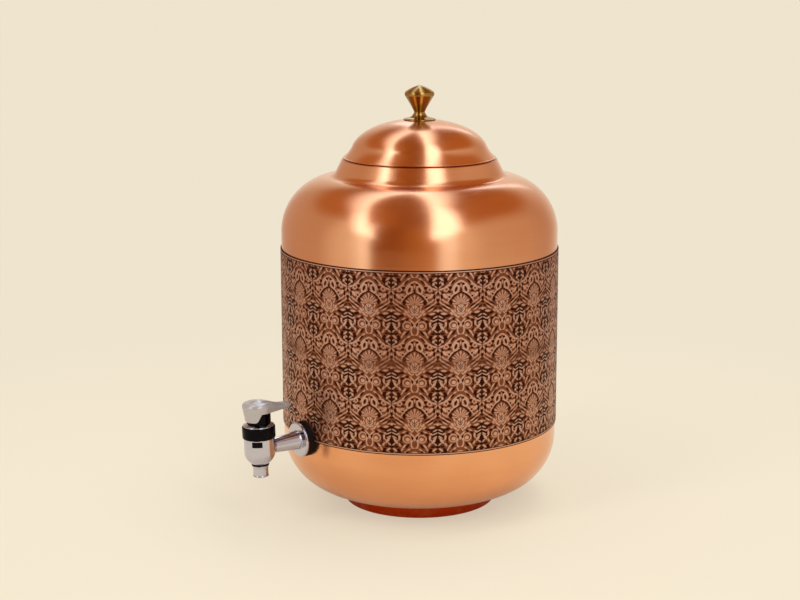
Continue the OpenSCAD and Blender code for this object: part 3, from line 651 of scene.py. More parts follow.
def paint_etching(spot, finish):
    """Damask of raised copper on a hatched ground with dark-filled gaps, and plain strips at both edges."""
    start = spot.start
    millimetres, row_foot = 1000, 0.53
    cell = 2 * math.pi / finish.columns
    width = millimetres * high("etched_band").x * cell
    height = millimetres * finish.row
    bearing = spot.x.math("ARCTAN2", 0 - spot.y)
    column = (bearing - finish.column_turn) / cell
    across = abs(column - (column + 0.5).math("FLOOR")) * width
    level = (spot.z - finish.row_start) / finish.row
    up = (level - (level + row_foot).math("FLOOR")) * height
    wander = spot.noise(900, detail=2) - 0.5
    right, top = across + wander * 0.5, up + wander * 0.35
    here = start.add("ShaderNodeCombineXYZ", None, {0: right, 1: top, 2: 1.0})

    def along(x, y, size, tilt):
        """Distance from a point along a direction, as a share of a size."""
        c, s = math.cos(math.radians(tilt)) / size, math.sin(math.radians(tilt)) / size
        return start.add(
            "ShaderNodeVectorMath", {"operation": "DOT_PRODUCT"},
            {0: here, 1: (c, s, -x * c - y * s)}, out="Value",
        )

    def leaf(x, y, long, wide, tilt):
        """About the distance from the edge of an ellipse, negative inside it."""
        u, v = along(x, y, long, tilt), along(x, y, wide, tilt + 90)
        return u.math("MULTIPLY_ADD", u, v * v).math("MULTIPLY_ADD", wide / 2, -wide / 2)

    def joined(leaves):
        """The same distance from several ellipses together."""
        whole = leaf(*leaves[0])
        for each in leaves[1:]:
            whole = whole.least(leaf(*each))
        return whole

    petals = []
    for degrees in PETAL_TURNS:
        t = math.radians(degrees)
        petals.append((PETAL_AWAY * math.sin(t), PETAL_AWAY * math.cos(t), *PETAL_SIZE, 90 - degrees))
    light = joined((*petals, *LEAVES))
    for x, y, wide, tall, tilt, stroke in RINGS:
        light = light.least(abs(leaf(x, y, tall, wide, tilt + 90)) - stroke / 2)
    raised = light.rise(0.38, -0.32)
    filled = joined(SPOTS).rise(0.40, -0.12)
    hatch_lean, hatch_pitch = 0.6, 0.9
    hatch = ((right * hatch_lean + top) * (2 * math.pi / hatch_pitch)).math("SINE") * 0.5 + 0.5
    # A plain strip along each edge, with painted shade along the sleeve's outer edge and a dark etched
    # groove between the strip and the pattern
    border = (spot.z - low("etched_band").z).least(high("etched_band").z - spot.z)
    strip = border.rise(0.0017, 0.0015)
    edge_shade_and_groove = border.rise(0.0009, 0.0006).most(border.rise(0.0022, 0.0020) * border.rise(0.0014, 0.0016))
    raised = raised.most(strip)
    filled = (filled * (1 - strip)).most(edge_shade_and_groove)
    cloud = spot.noise(30, detail=3)
    grain = spot.noise(1400, detail=2)
    worn = toned(finish.etch_light, 0.75)
    lit = (cloud * 0.6 + grain * 0.35).mix(finish.etch_light, worn)
    deep = toned(finish.etch_ground, 0.6)
    ground = (hatch * 0.7 + cloud * 0.3).mix(deep, finish.etch_ground)
    shaded = joined(LOZENGES).rise(1.4, -1.4)
    ground = (shaded * 0.85).mix(ground, finish.etch_dark)
    # A painted dark reflection in a soft belt round the sleeve, at the height where the two halves of the
    # pot lap
    reflection_belt = abs(spot.z - low("upper_shell").z).rise(0.008, 0.001) * cloud.rise(0.3, 0.6)
    whole = (reflection_belt * 0.45).mix(filled.mix(raised.mix(ground, lit), finish.etch_dark), deep)
    return {
        "Base Color": whole,
        "Metallic": 1 - filled,
        "Roughness": 0.46 - raised * 0.08 + grain * 0.06,
        "Normal": (grain + cloud * 2).bump(strength=0.2, depth=0.00005),
    }


def paint_brass(spot, finish):
    """Polished brass with turning lines and patches of tarnish."""
    lines = spot.lathe_lines(fineness=2600, drift=2)
    tarnish = spot.noise(150, detail=3).rise(0.45, 0.75)
    deep = toned(finish.brass, 0.55)
    return {
        "Base Color": (tarnish * 0.5).mix(finish.brass, deep),
        "Roughness": 0.16 + lines * 0.08 + tarnish * 0.08,
        "Normal": lines.bump(strength=0.06, depth=0.00003),
    }


def paint_chrome(spot, finish):
    """Chrome plate over a casting: bright, with faint waviness and dull water marks."""
    wave = spot.noise(120, detail=1)
    marks = spot.noise(420, detail=3).rise(0.55, 0.72)
    dull = toned(finish.chrome, 0.86)
    return {
        "Base Color": (marks * 0.6).mix(finish.chrome, dull),
        "Roughness": 0.055 + marks * 0.05,
        "Normal": wave.bump(strength=0.05, depth=0.0002),
    }


def paint_satin(spot, finish):
    """Satin plate on the lever: softly blurred, with finger marks."""
    marks = spot.noise(240, detail=4, roughness=0.6).rise(0.5, 0.72)
    grain = spot.noise(2600, detail=1)
    dull = toned(finish.satin, 0.9)
    return {
        "Base Color": (marks * 0.5).mix(finish.satin, dull),
        "Roughness": 0.23 + marks * 0.04 + grain * 0.04,
        "Normal": grain.bump(strength=0.04, depth=0.00003),
    }


def paint_shaded_foot(spot, finish):
    """Copper of the foot, darkened all over by painted shade, with lathe lines and brighter rubbed patches.
    """
    lines = spot.lathe_lines(fineness=1500, drift=2.5)
    rubbed = spot.noise(60, detail=4, roughness=0.6).rise(0.45, 0.72)
    return {
        "Base Color": (rubbed * 0.2).mix(finish.tarnish, finish.copper_deep),
        "Roughness": 0.30 + lines * 0.12 - rubbed * 0.06,
        "Normal": lines.bump(strength=0.12, depth=0.00006),
    }


def paint_black(spot, finish):
    """Gloss black moulding with a faint orange-peel surface and fine scuffs."""
    peel = spot.noise(900, detail=1)
    scuff = spot.noise(260, detail=4, roughness=0.7).rise(0.58, 0.75)
    grey = dusted(finish.black, 0.006)
    return {
        "Base Color": scuff.mix(finish.black, grey),
        "Roughness": 0.07 + scuff * 0.10,
        "Normal": peel.bump(strength=0.04, depth=0.0001),
    }


def paint_rubber(spot, finish):
    """Matt rubber with a fine grain and a little dust."""
    grain = spot.noise(2200, detail=2)
    dust = spot.noise(180, detail=3).rise(0.5, 0.8)
    pale = dusted(finish.rubber, 0.012)
    return {
        "Base Color": (dust * 0.6).mix(finish.rubber, pale),
        "Roughness": 0.55 + grain * 0.2,
        "Normal": grain.bump(strength=0.15, depth=0.00006),
    }


def paint_silicone(spot, finish):
    """Milky silicone with a soft bloom."""
    bloom = spot.noise(160, detail=3)
    warm = tuple(part * k for part, k in zip(finish.silicone, (1.0, 0.97, 0.9)))
    return {
        "Base Color": bloom.mix(finish.silicone, warm),
        "Roughness": 0.38 + bloom * 0.2,
        "Normal": bloom.bump(strength=0.05, depth=0.0001),
    }


def paint_steel(spot, finish):
    """Plain stainless steel with fine turning marks."""
    marks = spot.lathe_lines(fineness=3200, drift=3)
    smear = spot.noise(200, detail=3)
    grey = toned(finish.steel, 0.8)
    return {
        "Base Color": (smear * 0.6).mix(finish.steel, grey),
        "Roughness": 0.24 + marks * 0.14,
        "Normal": marks.bump(strength=0.08, depth=0.00003),
    }


# Paint and constant sockets of each record slot, of a dull chrome, and of copper darkened by painted shade
TURNED = {"metallic": 1.0, "anisotropic_rotation": 0.25}
SLOT_FINISHES = {
    "copper": (paint_copper, {**TURNED, "anisotropic": 0.5, "coat_weight": 0.15, "coat_roughness": 0.1}),
    "tarnished_copper": (paint_shaded_foot, {**TURNED, "anisotropic": 0.4}),
    "etched_copper": (paint_etching, {"specular_ior_level": 0.03}),
    "brass": (paint_brass, {**TURNED, "anisotropic": 0.35}),
    "chrome": (paint_chrome, {"metallic": 1.0}),
    "satin_chrome": (paint_satin, {"metallic": 0.4}),
    "black_plastic": (paint_black, {"specular_ior_level": 0.05}),
    "rubber": (paint_rubber, {"specular_ior_level": 0.1}),
    "silicone": (paint_silicone, {"subsurface_weight": 0.15, "subsurface_scale": 0.002}),
    "steel": (paint_steel, {"metallic": 1.0}),
}


def slot_finish(slot, finish):
    """A slot's material, made once: its paint gives what varies, the rest is set on the shader's sockets."""
    name = slot + "_finish"
    material = bpy.data.materials.get(name)
    if material:
        return material
    material = bpy.data.materials.new(name)
    start = bare_tree(material)
    paint, fixed = SLOT_FINISHES[slot]
    sockets = {key.replace("_", " ").title().replace("Ior", "IOR"): value for key, value in fixed.items()}
    sockets.update(paint(Spot(start), finish))
    shader = start.add("ShaderNodeBsdfPrincipled", None, sockets)
    start.add("ShaderNodeOutputMaterial", None, {"Surface": shader})
    return material


def dress(piece, slot, finish):
    """Gives a piece the material of a slot."""
    piece.data.materials.clear()
    piece.data.materials.append(slot_finish(slot, finish))


# Operators

class DISPENSER_OT_pot(bpy.types.Operator):
    """Spin the two copper halves of the pot"""

    bl_idname = "dispenser.pot"
    bl_label = "Pot"

    def execute(self, context):
        settings = context.scene.dispenser
        pot = settings.pot
        radius, inner = pot.wall_radius, pot.wall_radius - pot.sheet
        seam = low("upper_shell").z
        lap = radius - pot.sheet - FIT
        top = high("lower_shell").z
        upper = spin("upper_shell_spun", (
            line((radius, seam), (radius, pot.wall_top), 8)[:-1] + shoulder_curve(pot, 0)
            + shoulder_curve(pot, pot.sheet)[::-1] + [(inner, seam)]
        ))
        seat(upper, "upper_shell")
        lower = spin("lower_shell_spun", (
            bowl_curve(pot, 0) + line((radius, pot.wall_foot), (radius, seam - pot.joggle), 24)[1:]
            + [(lap, seam), (lap, top), (lap - pot.sheet, top), (lap - pot.sheet, seam)]
            + line((inner, seam - pot.joggle), (inner, pot.wall_foot), 24)[:-1]
            + bowl_curve(pot, pot.sheet)[::-1]
        ))
        bore(lower, tap_drill(settings))
        seat(lower, "lower_shell")
        for piece in (upper, lower):
            dress(piece, "copper", settings.finish)
        return {"FINISHED"}


def tap_drill(settings):
    """A bar along the tap's stem, as wide as the hole in the wall."""
    clearance = 0.0003
    hole = settings.tap.shank_radius + clearance
    front, back = -settings.tap.gasket_depth, settings.tap.shank_end
    outline = [(0, front), (hole, front), (hole, back), (0, back)]
    return spin("tap_drill", outline, steps=64, loop=False, place=at_stem(settings) @ LAY_ALONG_STEM)


class DISPENSER_OT_band(bpy.types.Operator):
    """Roll the etched sleeve round the straight wall"""

    bl_idname = "dispenser.band"
    bl_label = "Etched sleeve"

    def execute(self, context):
        settings = context.scene.dispenser
        foot, top = low("etched_band").z, high("etched_band").z
        outer, inner = -low("etched_band").x, settings.pot.wall_radius + FIT
        edge = 0.00025
        band = spin("etched_sleeve", (
            [(inner, foot)] + arc((outer - edge, foot + edge), edge, -90, 0, 4)
            + line((outer, foot + edge), (outer, top - edge), 40)[1:-1]
            + arc((outer - edge, top - edge), edge, 0, 90, 4) + [(inner, top)]
        ), steps=240)
        bore(band, tap_drill(settings))
        dress(seat(band, "etched_band"), "etched_copper", settings.finish)
        return {"FINISHED"}


class DISPENSER_OT_foot(bpy.types.Operator):
    """Spin the foot ring under the bowl"""

    bl_idname = "dispenser.foot"
    bl_label = "Foot ring"

    def execute(self, context):
        settings = context.scene.dispenser
        pot = settings.pot
        top = high("foot_ring").z
        out = pot.foot_radius + pot.foot_flare
        curl, roll_top, corner = 0.001, 0.003, 0.0006
        wall_in, roll_in = pot.foot_radius - pot.foot_wall, pot.foot_radius - pot.foot_roll
        inside = [(out - pot.foot_wall, top), (wall_in, roll_top), (roll_in, roll_top), (roll_in, 0)]
        foot = spin("foot_ring_rolled", (
            [(roll_in, 0)] + arc((pot.foot_radius - curl, curl), curl, -90, 0, 10)
            + line((pot.foot_radius, curl), (out, top), 8)[1:] + rounded(inside, corner)[:-1]
        ))
        # The foot ring gets copper darkened by painted shade
        dress(seat(foot, "foot_ring"), "tarnished_copper", settings.finish)
        return {"FINISHED"}


def dome_level(lid, radius, depth):
    """Height of the dome's skin at a radius, a depth inside it."""
    foot = dome_foot(lid) - lid.dome_sink
    rise = high("lid_dome").z - foot - depth
    return foot + rise * math.sqrt(1 - (radius / (lid.dome_radius - depth)) ** 2)


def flare_foot(lid):
    """Radius and height at which the flare leaves the rolled brim."""
    return high("lid_dome").x - lid.brim_roll / 2, low("lid_dome").z + lid.brim_roll / 2


def dome_foot(lid):
    """Height at which flare and dome would meet."""
    radius, level = flare_foot(lid)
    return level + (radius - lid.dome_radius) * math.tan(lid.flare_slope)


def lid_curve(lid, depth, shift):
    """The lid from flare to crown, a depth inside the skin, with the flare moved in by shift."""
    flare_radius, level = flare_foot(lid)
    slope = math.tan(lid.flare_slope)
    knee = lid.dome_radius - depth
    start = knee + lid.flare_blend
    foot = dome_foot(lid) - lid.dome_sink
    rise = high("lid_dome").z - foot - depth
    first = math.asin((dome_foot(lid) + lid.flare_blend - foot) / rise)
    turns = [first + (math.pi / 2 - first) * i / 64 for i in range(65)]
    dome = [(knee * math.cos(t), foot + rise * math.sin(t)) for t in turns]
    blend = [(radius, level + (flare_radius - shift - radius) * slope) for radius in (start, knee)]
    return bend(*blend, dome[0], 10) + dome[1:-1] + [(0, foot + rise)]


class DISPENSER_OT_lid(bpy.types.Operator):
    """Spin the lid and its centring ring"""

    bl_idname = "dispenser.lid"
    bl_label = "Lid"

    def execute(self, context):
        settings = context.scene.dispenser
        lid = settings.lid
        brim = low("lid_dome").z
        centre = flare_foot(lid)
        shift = lid.sheet / math.sin(lid.flare_slope)
        brim_in = centre[0] - shift + (centre[1] - brim) / math.tan(lid.flare_slope)
        out = arc(centre, lid.brim_roll / 2, -90, 90 - math.degrees(lid.flare_slope), 12)
        flare = lid_curve(lid, 0, 0)
        under = lid_curve(lid, lid.sheet, shift)
        hole = [(SCREW_HOLE, dome_level(lid, SCREW_HOLE, depth)) for depth in (0, lid.sheet)]
        dome = spin("lid_dome_spun", (
            out + line(out[-1], flare[0], 6)[1:-1] + [p for p in flare if p[0] > SCREW_HOLE] + hole
            + [p for p in under[::-1] if p[0] > SCREW_HOLE] + [(brim_in, brim)]
        ), edge=35)
        dress(seat(dome, "lid_dome"), "copper", settings.finish)
        foot, top, radius = low("lid_collar").z, high("lid_collar").z, high("lid_collar").x
        wall, corner = 0.001, 0.0003
        inner = radius - wall
        middle = (inner, (foot + top) / 2)
        collar = spin("lid_centring_ring", rounded(
            [middle, (inner, foot), (radius, foot), (radius, top - wall), (inner, top), middle], corner))
        dress(seat(collar, "lid_collar"), "copper", settings.finish)
        return {"FINISHED"}


class DISPENSER_OT_knob(bpy.types.Operator):
    """Turn the brass knob and its rosette"""

    bl_idname = "dispenser.knob"
    bl_label = "Knob and rosette"

    def execute(self, context):
        settings = context.scene.dispenser
        lid = settings.lid
        foot, top, radius = low("knob").z, high("knob").z, high("knob").x
        waist_top, bow_out, bow_up, tip_fall = 0.001, 0.0007, 0.0034, 0.0014
        bore_radius, bore_top = 0.00245, foot + 0.00905
        edge = arc((radius - lid.knob_round, foot + lid.knob_edge), lid.knob_round, -35, 62, 20)
        bow = lid.knob_waist + bow_out, foot + bow_up
        flare = bend((lid.knob_waist, foot + waist_top), bow, edge[0], 24)
        cap = bend(edge[-1], (radius / 2, top - tip_fall), (0, top), 24)
        knob = spin("knob_turned", (
            [(bore_radius, foot), (lid.knob_waist, foot)] + flare + edge[1:] + cap[1:]
            + [(0, bore_top), (bore_radius, bore_top)]
        ), steps=96)
        dress(seat(knob, "knob"), "brass", settings.finish)
        crown = high("lid_dome").z
        rim, rosette_top = high("knob_rosette").x, high("knob_rosette").z
        rim_top = crown + lid.rosette_rim
        hollow_out, hollow_up, corner = 0.001, 0.0006, 0.00025
        hollow = lid.boss_radius + hollow_out, rim_top + hollow_up
        flare = bend((rim - lid.rosette_flat, rim_top), hollow, (lid.boss_radius, rosette_top), 24)
        below = [(r, dome_level(lid, r, 0) + FIT) for r, _ in line((SCREW_HOLE, 0), (rim, 0), 12)]
        rim_foot = dome_level(lid, rim, 0) + FIT
        edge = [below[-2], (rim, rim_foot), (rim, rim_foot + lid.rosette_rim), flare[0]]
        rosette = spin("knob_rosette_turned", (
            below[:-1] + rounded(edge, corner)[1:-1] + flare + [(SCREW_HOLE, rosette_top)]
        ), steps=96)
        dress(seat(rosette, "knob_rosette"), "brass", settings.finish)
        return {"FINISHED"}


def barrel_radius_at(tap, level):
    """Radius of the barrel at a level below or above its stem's axis."""
    down = max(0, (-level - tap.barrel_straight) / (tap.barrel_down - tap.barrel_straight))
    return tap.barrel_radius - min(down, 1) ** 2 * (tap.barrel_radius - tap.barrel_end)


class DISPENSER_OT_tap_body(bpy.types.Operator):
    """Make the chrome barrel, with its stem, flange and shank"""

    bl_idname = "dispenser.tap_body"
    bl_label = "Tap body"

    def execute(self, context):
        settings = context.scene.dispenser
        tap = settings.tap
        levels = [-tap.barrel_straight - (tap.barrel_down - tap.barrel_straight) * i / 24 for i in range(25)]
        socket, outlet, outlet_top, chamber_foot, corner = 0.00505, 0.0044, -0.0082, -0.0046, 0.0004
        shoulder = [(tap.thread_radius, tap.barrel_up), (tap.barrel_radius, tap.barrel_up),
                    (tap.barrel_radius, -tap.barrel_straight)]
        barrel = spin("tap_barrel", (
            [(tap.chamber_radius, tap.thread_top), (tap.thread_radius, tap.thread_top)]
            + rounded(shoulder, corner)[:-1] + [(barrel_radius_at(tap, z), z) for z in levels]
            + [(socket, -tap.barrel_down), (socket, VALVE_SEAT), (outlet, VALVE_SEAT), (outlet, outlet_top),
               (tap.chamber_radius, chamber_foot)]
        ), steps=128, place=at_barrel(settings))
        dress(seat(barrel, "tap_body"), "chrome", settings.finish)
        dress(join(self.stem(settings), "tap_body"), "chrome", settings.finish)
        return {"FINISHED"}

    def stem(self, settings):
        """The stem, which meets the barrel in a hollow round, with its flange, shank and waterway."""
        tap = settings.tap
        steps, hollow_steps = 96, 12
        turns = [2 * math.pi * i / steps for i in range(steps)]
        rows = []
        for i in range(hollow_steps + 1):
            lift = math.radians(90 * i / hollow_steps)
            radius = tap.stem_radius + tap.stem_fillet * (1 - math.sin(lift))
            away = tap.stem_fillet * (1 - math.cos(lift)) - SUNK
            row = []
            for t in turns:
                x, z = radius * math.cos(t), radius * math.sin(t)
                wall = math.sqrt(barrel_radius_at(tap, z) ** 2 - x * x)
                row.append((x, wall + away - tap.reach, z))
            rows.append(row)
        face = -tap.gasket_depth - tap.flange_depth
        bevel, corner, buried = 0.0008, 0.00045, 0.0002
        start = tap.barrel_radius + tap.stem_fillet - tap.reach
        outline = rounded([
            (tap.stem_radius, start), (tap.stem_root, face), (tap.flange_radius - bevel, face),
            (tap.flange_radius, face + bevel), (tap.flange_radius, -tap.gasket_depth),
            (tap.shank_radius, -tap.gasket_depth), (tap.shank_radius, tap.shank_end),
            (tap.water_radius, tap.shank_end), (tap.water_radius, start)], corner, 5)
        rows += [[(r * math.cos(t), y, r * math.sin(t)) for t in turns] for r, y in outline[1:]]
        mouth = [(tap.water_radius * math.cos(t), tap.water_radius * math.sin(t)) for t in turns]
        chamber = tap.chamber_radius + buried
        rows.append([(x, math.sqrt(chamber**2 - x * x) - tap.reach, z) for x, z in mouth])
        return skin("tap_stem", rows, loop=True, edge=32, place=at_stem(settings))


class DISPENSER_OT_tap_fittings(bpy.types.Operator):
    """Turn the nozzle, its ring, the collar nut and its trim, and set the bare black inlay"""

    bl_idname = "dispenser.tap_fittings"
    bl_label = "Tap fittings"

    def execute(self, context):
        settings = context.scene.dispenser
        for piece, node in (
            (self.nozzle(settings), "nozzle"),
            (self.ring(settings), "nozzle_oring"),
            (self.collar_nut(settings), "collar_nut"),
        ):
            dress(seat(piece, node), SLOT_OF[node], settings.finish)
        for piece, slot in ((self.inlay(settings), "black_plastic"), (self.trim(settings), "chrome")):
            dress(join(piece, "tap_body"), slot, settings.finish)
        return {"FINISHED"}

    def trim(self, settings):
        """A thin chrome cone that lies on the collar nut."""
        tap = settings.tap
        foot = tap.barrel_up + tap.collar_height
        brim, top, ledge, corner = foot + 0.0006, foot + 0.002, 0.0003, 0.0003
        inner, outer = tap.collar_eye + 0.0002, tap.collar_radius - 0.0008
        start = (inner, foot + 0.001)
        below, above = [(inner, foot), (outer, foot), (outer, brim)], [(inner + ledge, top), (inner, top)]
        outline = rounded([start, *below, *above, start], corner)
        return spin("collar_trim", outline, steps=128, place=at_barrel(settings))

    def nozzle(self, settings):
        """The outlet: a spigot in the barrel, a rim, a hollow waist and a beaded end."""
        tap = settings.tap
        radius, bore_radius = tap.nozzle_radius, tap.nozzle_bore
        top = -tap.barrel_down - tap.ring_depth
        end = top - tap.nozzle_height
        spigot, rim, rim_foot, corner = 0.005, tap.barrel_end - 0.0003, top - 0.0004, 0.0002
        bead, bead_out, chamfer = 0.0007, radius + 0.0003, 0.0005
        waist = bend((rim, rim_foot), (radius, top - 0.0014), (radius, top - 0.0036), 12)
        bead_top = (bead_out - bead / 2, end + 1.87 * bead)
        swell = bend((radius, end + 0.0026), (radius, end + 0.0018), bead_top, 6)
        return spin("tap_nozzle", (
            [(bore_radius, VALVE_SEAT), (spigot, VALVE_SEAT)]
            + rounded([(spigot, top), (rim, top), (rim, rim_foot)], corner)[:-1] + waist + swell
            + arc((bead_out - bead, end + bead), bead, 60, -90, 14)
            + [(bore_radius + chamfer, end), (bore_radius, end + chamfer)]
        ), steps=96, edge=32, place=at_barrel(settings))

    def ring(self, settings):
        """The rubber ring between barrel and nozzle."""
        tap = settings.tap
        half = tap.ring_depth / 2
        outline = arc((tap.barrel_end - half, -tap.barrel_down - half), half, 0, 360, 24)[:-1]
        return spin("nozzle_ring", outline, steps=96, place=at_barrel(settings))

    def collar_nut(self, settings):
        """The black nut round the barrel's thread, whose lip holds the turret down."""
        tap = settings.tap
        foot = tap.barrel_up + FIT
        top = tap.barrel_up + tap.collar_height
        inside, lip = tap.thread_radius + FIT, tap.thread_top + 0.0024
        low_round, top_round, crown, corner = 0.0008, 0.0012, 0.0001, 0.0003
        shoulder = tap.collar_radius - top_round
        eye = [(shoulder, top), (tap.collar_eye, top + crown), (tap.collar_eye, lip)]
        return spin("collar_nut_moulded", (
            [(inside, foot)] + arc((tap.collar_radius - low_round, foot + low_round), low_round, -90, 0, 10)
            + arc((shoulder, top - top_round), top_round, 0, 80, 12)
            + rounded(eye, corner)[1:] + [(inside, lip)]
        ), steps=128, place=at_barrel(settings))

    def inlay(self, settings):
        """A thin plate with soft edges, bent round the barrel."""
        tap = settings.tap
        radius, proud, sunk, margin = tap.barrel_radius, 0.00025, -0.0003, 0.0008
        middle = tap.barrel_up - margin - tap.inlay_height / 2
        soft = ((0, 0.5), (0.00008, 0.9), (0.0002, 1.0))

        def profile(half):
            """Places across the plate, with the share of its depth at each."""
            edge = [(-half + inset, depth) for inset, depth in soft]
            flat = [(place, 1.0) for place, _ in line((edge[-1][0], 0), (-edge[-1][0], 0), 10)]
            return edge + flat[1:-1] + [(-place, depth) for place, depth in reversed(edge)]

        rows = []
        for level, most in profile(tap.inlay_height / 2):
            front = [(place, proud * min(depth, most)) for place, depth in profile(tap.inlay_width / 2)]
            back = [(place, sunk) for place, _ in reversed(front)]
            turns = [(tap.inlay_turn + place / radius, radius + depth) for place, depth in front + back]
            rows.append([(r * math.sin(t), -r * math.cos(t), middle + level) for t, r in turns])
        return skin("tap_inlay", rows, caps=True, edge=40, place=at_barrel(settings))


class DISPENSER_OT_lever(bpy.types.Operator):
    """Make the chrome press lever with its skirt"""

    bl_idname = "dispenser.lever"
    bl_label = "Lever"
    # Degrees above which an edge stays sharp, and the share by which the underside lies inside the outline
    sharp, tuck = 34, 0.06

    def execute(self, context):
        settings = context.scene.dispenser
        place = at_barrel(settings)
        cap = self.cap(settings.lever, place)
        for tool in self.hollows(settings.lever, place):
            bore(cap, tool, self.sharp)
        dress(seat(cap, "lever"), "satin_chrome", settings.finish)
        skirt = self.skirt(settings.lever, place)
        dress(join(skirt, "lever"), "satin_chrome", settings.finish)
        return {"FINISHED"}

    def cap(self, lever, place):
        """The head and arm: rows that follow the plan's outline and close in on its spine."""
        tip = lever.reach - lever.tip_radius
        lean = math.asin((lever.head_radius - lever.tip_radius) / tip)

        def side(k, t):
            """A point of the plan's straight sides, by the share of the way to the tip."""
            return tip * k, lever.head_radius + (lever.tip_radius - lever.head_radius) * k, t

        plan = [(0.0, lever.head_radius, math.pi - lean + (math.pi + 2 * lean) * i / 64) for i in range(65)]
        plan += [side(i / 16, lean) for i in range(1, 16)]
        plan += [(tip, lever.tip_radius, lean + (math.pi - 2 * lean) * i / 32) for i in range(33)]
        plan += [side(1 - i / 16, math.pi - lean) for i in range(1, 16)]

        def row(inward, level):
            """Points a share inside the plan's outline, at a level by the share of the way to the tip."""
            points = []
            for along, radius, t in plan:
                near = radius * (1 - inward)
                y = along + near * math.sin(t)
                points.append((near * math.cos(t), y, level(min(max(y / tip, 0), 1))))
            return points

        def between(head, end):
            """A level that changes evenly from head to tip."""
            return lambda t: head + (end - head) * t

        tip_top = lever.tip_under + lever.tip_depth
        tip_edge, tip_crown = 0.3 * lever.tip_depth, 0.4 * lever.crown
        under = between(lever.under, lever.tip_under)
        edge = between(lever.crease, lever.tip_under + tip_edge)
        swell = between(lever.crown, tip_crown)

        def ridge(t):
            """Level of the spine, which falls smoothly from head to tip."""
            return lever.top + (tip_top - lever.top) * t * t * (3 - 2 * t)

        def brow(t):
            """Level at which the upper edges begin to round."""
            return ridge(t) - swell(t) - lever.edge_round

        rows = [row(inward, under) for inward in (1, 0.7, 0.4, 0.12, self.tuck)]
        rows += [row(0, edge), row(0, brow)]
        for i in range(1, 15):
            lift = math.pi / 2 * i / 14
            rows.append(row(
                lever.dome * (1 - math.cos(lift)),
                lambda t, k=math.sin(lift): brow(t) + lever.edge_round * k))
        for i in range(1, 9):
            left = 1 - i / 8
            rows.append(row(1 - (1 - lever.dome) * left, lambda t, k=left: ridge(t) - swell(t) * k * k))

        def weld(shape):
            """Joins the points that meet on the spine."""
            bmesh.ops.remove_doubles(shape, verts=shape.verts, dist=1e-6)

        return reworked(skin("lever_cap", rows, edge=self.sharp, place=place), weld, self.sharp)

    def hollows(self, lever, place):
        """Tools for the slot in which the stem's eye tips, and for the cross pin's hole."""
        eye, eye_drop, outside, blind = (0.005, 0.0078, 0.0088), 0.0012, 0.001, 0.0026
        slot = bmesh.new()
        bmesh.ops.create_cube(slot, size=1)
        middle = Matrix.Translation((0, 0, lever.pin_level - eye_drop))
        bmesh.ops.transform(slot, matrix=place @ middle @ Matrix.Diagonal((*eye, 1)), verts=slot.verts)
        mesh = bpy.data.meshes.new("eye_slot")
        slot.to_mesh(mesh)
        slot.free()
        across = Matrix.Translation((-lever.head_radius - outside, 0, lever.pin_level))
        across = across @ Matrix.Rotation(math.pi / 2, 4, "Y")
        depth = 2 * lever.head_radius + outside - blind
        outline = [(0, 0), (lever.pin_radius, 0), (lever.pin_radius, depth), (0, depth)]
        pin = spin("pin_hole", outline, steps=48, loop=False, place=place @ across)
        return new_piece("eye_slot", mesh), pin

    def skirt(self, lever, place):
        """The skirt in front of the turret, open towards the vessel."""
        corner = lever.skirt_corner
        straight = lever.skirt_foot + corner
        levels = [straight - corner * math.cos(math.pi / 2 * i / 6) for i in range(6)]
        levels += [straight + (lever.crease - straight) * i / 12 for i in range(13)]
        outside = lever.head_radius * (1 - self.tuck) - SUNK
        rows = []
        for inset, order in ((0, levels), (lever.skirt_sheet, levels[::-1])):
            for z in order:
                up = min((z - lever.skirt_foot) / (lever.under - lever.skirt_foot), 1)
                radius = lever.skirt_radius + (outside - lever.skirt_radius) * up
                if inset:
                    radius = lever.skirt_radius - inset if z < lever.under else radius - inset
                front = lever.skirt_cut - lever.skirt_lean * up
                front += corner - math.sqrt(corner**2 - max(straight - z, 0) ** 2)
                half = math.acos(front / radius)
                turns = [half * (-1 + i / 40) for i in range(81)]
                rows.append([(radius * math.sin(t), -radius * math.cos(t), z) for t in turns])

        def close(shape):
            """Fills the skirt's two open ends."""
            bmesh.ops.holes_fill(shape, edges=shape.edges, sides=0)

        skirt = skin("lever_skirt", rows, ring=False, loop=True, edge=self.sharp, place=place)
        return reworked(skirt, close, self.sharp)


class DISPENSER_OT_spring(bpy.types.Operator):
    """Wind the return spring inside the turret"""

    bl_idname = "dispenser.spring"
    bl_label = "Return spring"

    def execute(self, context):
        settings = context.scene.dispenser
        radius, wire, turns, top, tall = 0.0037, 0.0004, 6, 0.025, 0.0115
        steps, sides = 40 * turns, 12
        rows = []
        for i in range(steps + 1):
            t = 2 * math.pi * turns * i / steps
            level = top - tall + wire + (tall - 2 * wire) * i / steps
            row = []
            for k in range(sides):
                a = 2 * math.pi * k / sides
                out = radius + wire * math.cos(a)
                row.append((out * math.cos(t), out * math.sin(t), level + wire * math.sin(a)))
            rows.append(row)
        for end in (0, -1):
            middle = [sum(p[k] for p in rows[end]) / sides for k in range(3)]
            rows.insert(0 if end == 0 else len(rows), [tuple(middle)])
        place = at_barrel(settings)
        spring = skin("return_spring_wound", rows, place=place)
        dress(seat(spring, "return_spring"), "steel", settings.finish)
        lift = next(j for j in RECORD["behaviour"]["joints"] if j["name"] == "stem_lift")["range_m"][1]
        1 - lift / tall
        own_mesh(spring)
        return {"FINISHED"}


class DISPENSER_OT_small_parts(bpy.types.Operator):
    """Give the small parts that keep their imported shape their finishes"""

    bl_idname = "dispenser.small_parts"
    bl_label = "Small parts"

    def execute(self, context):
        settings = context.scene.dispenser
        for node, piece in frame["nodes"].items():
            if not piece.hide_render:
                material = slot_finish(SLOT_OF[node], settings.finish)
                for slot in piece.material_slots:
                    slot.material = material
        return {"FINISHED"}


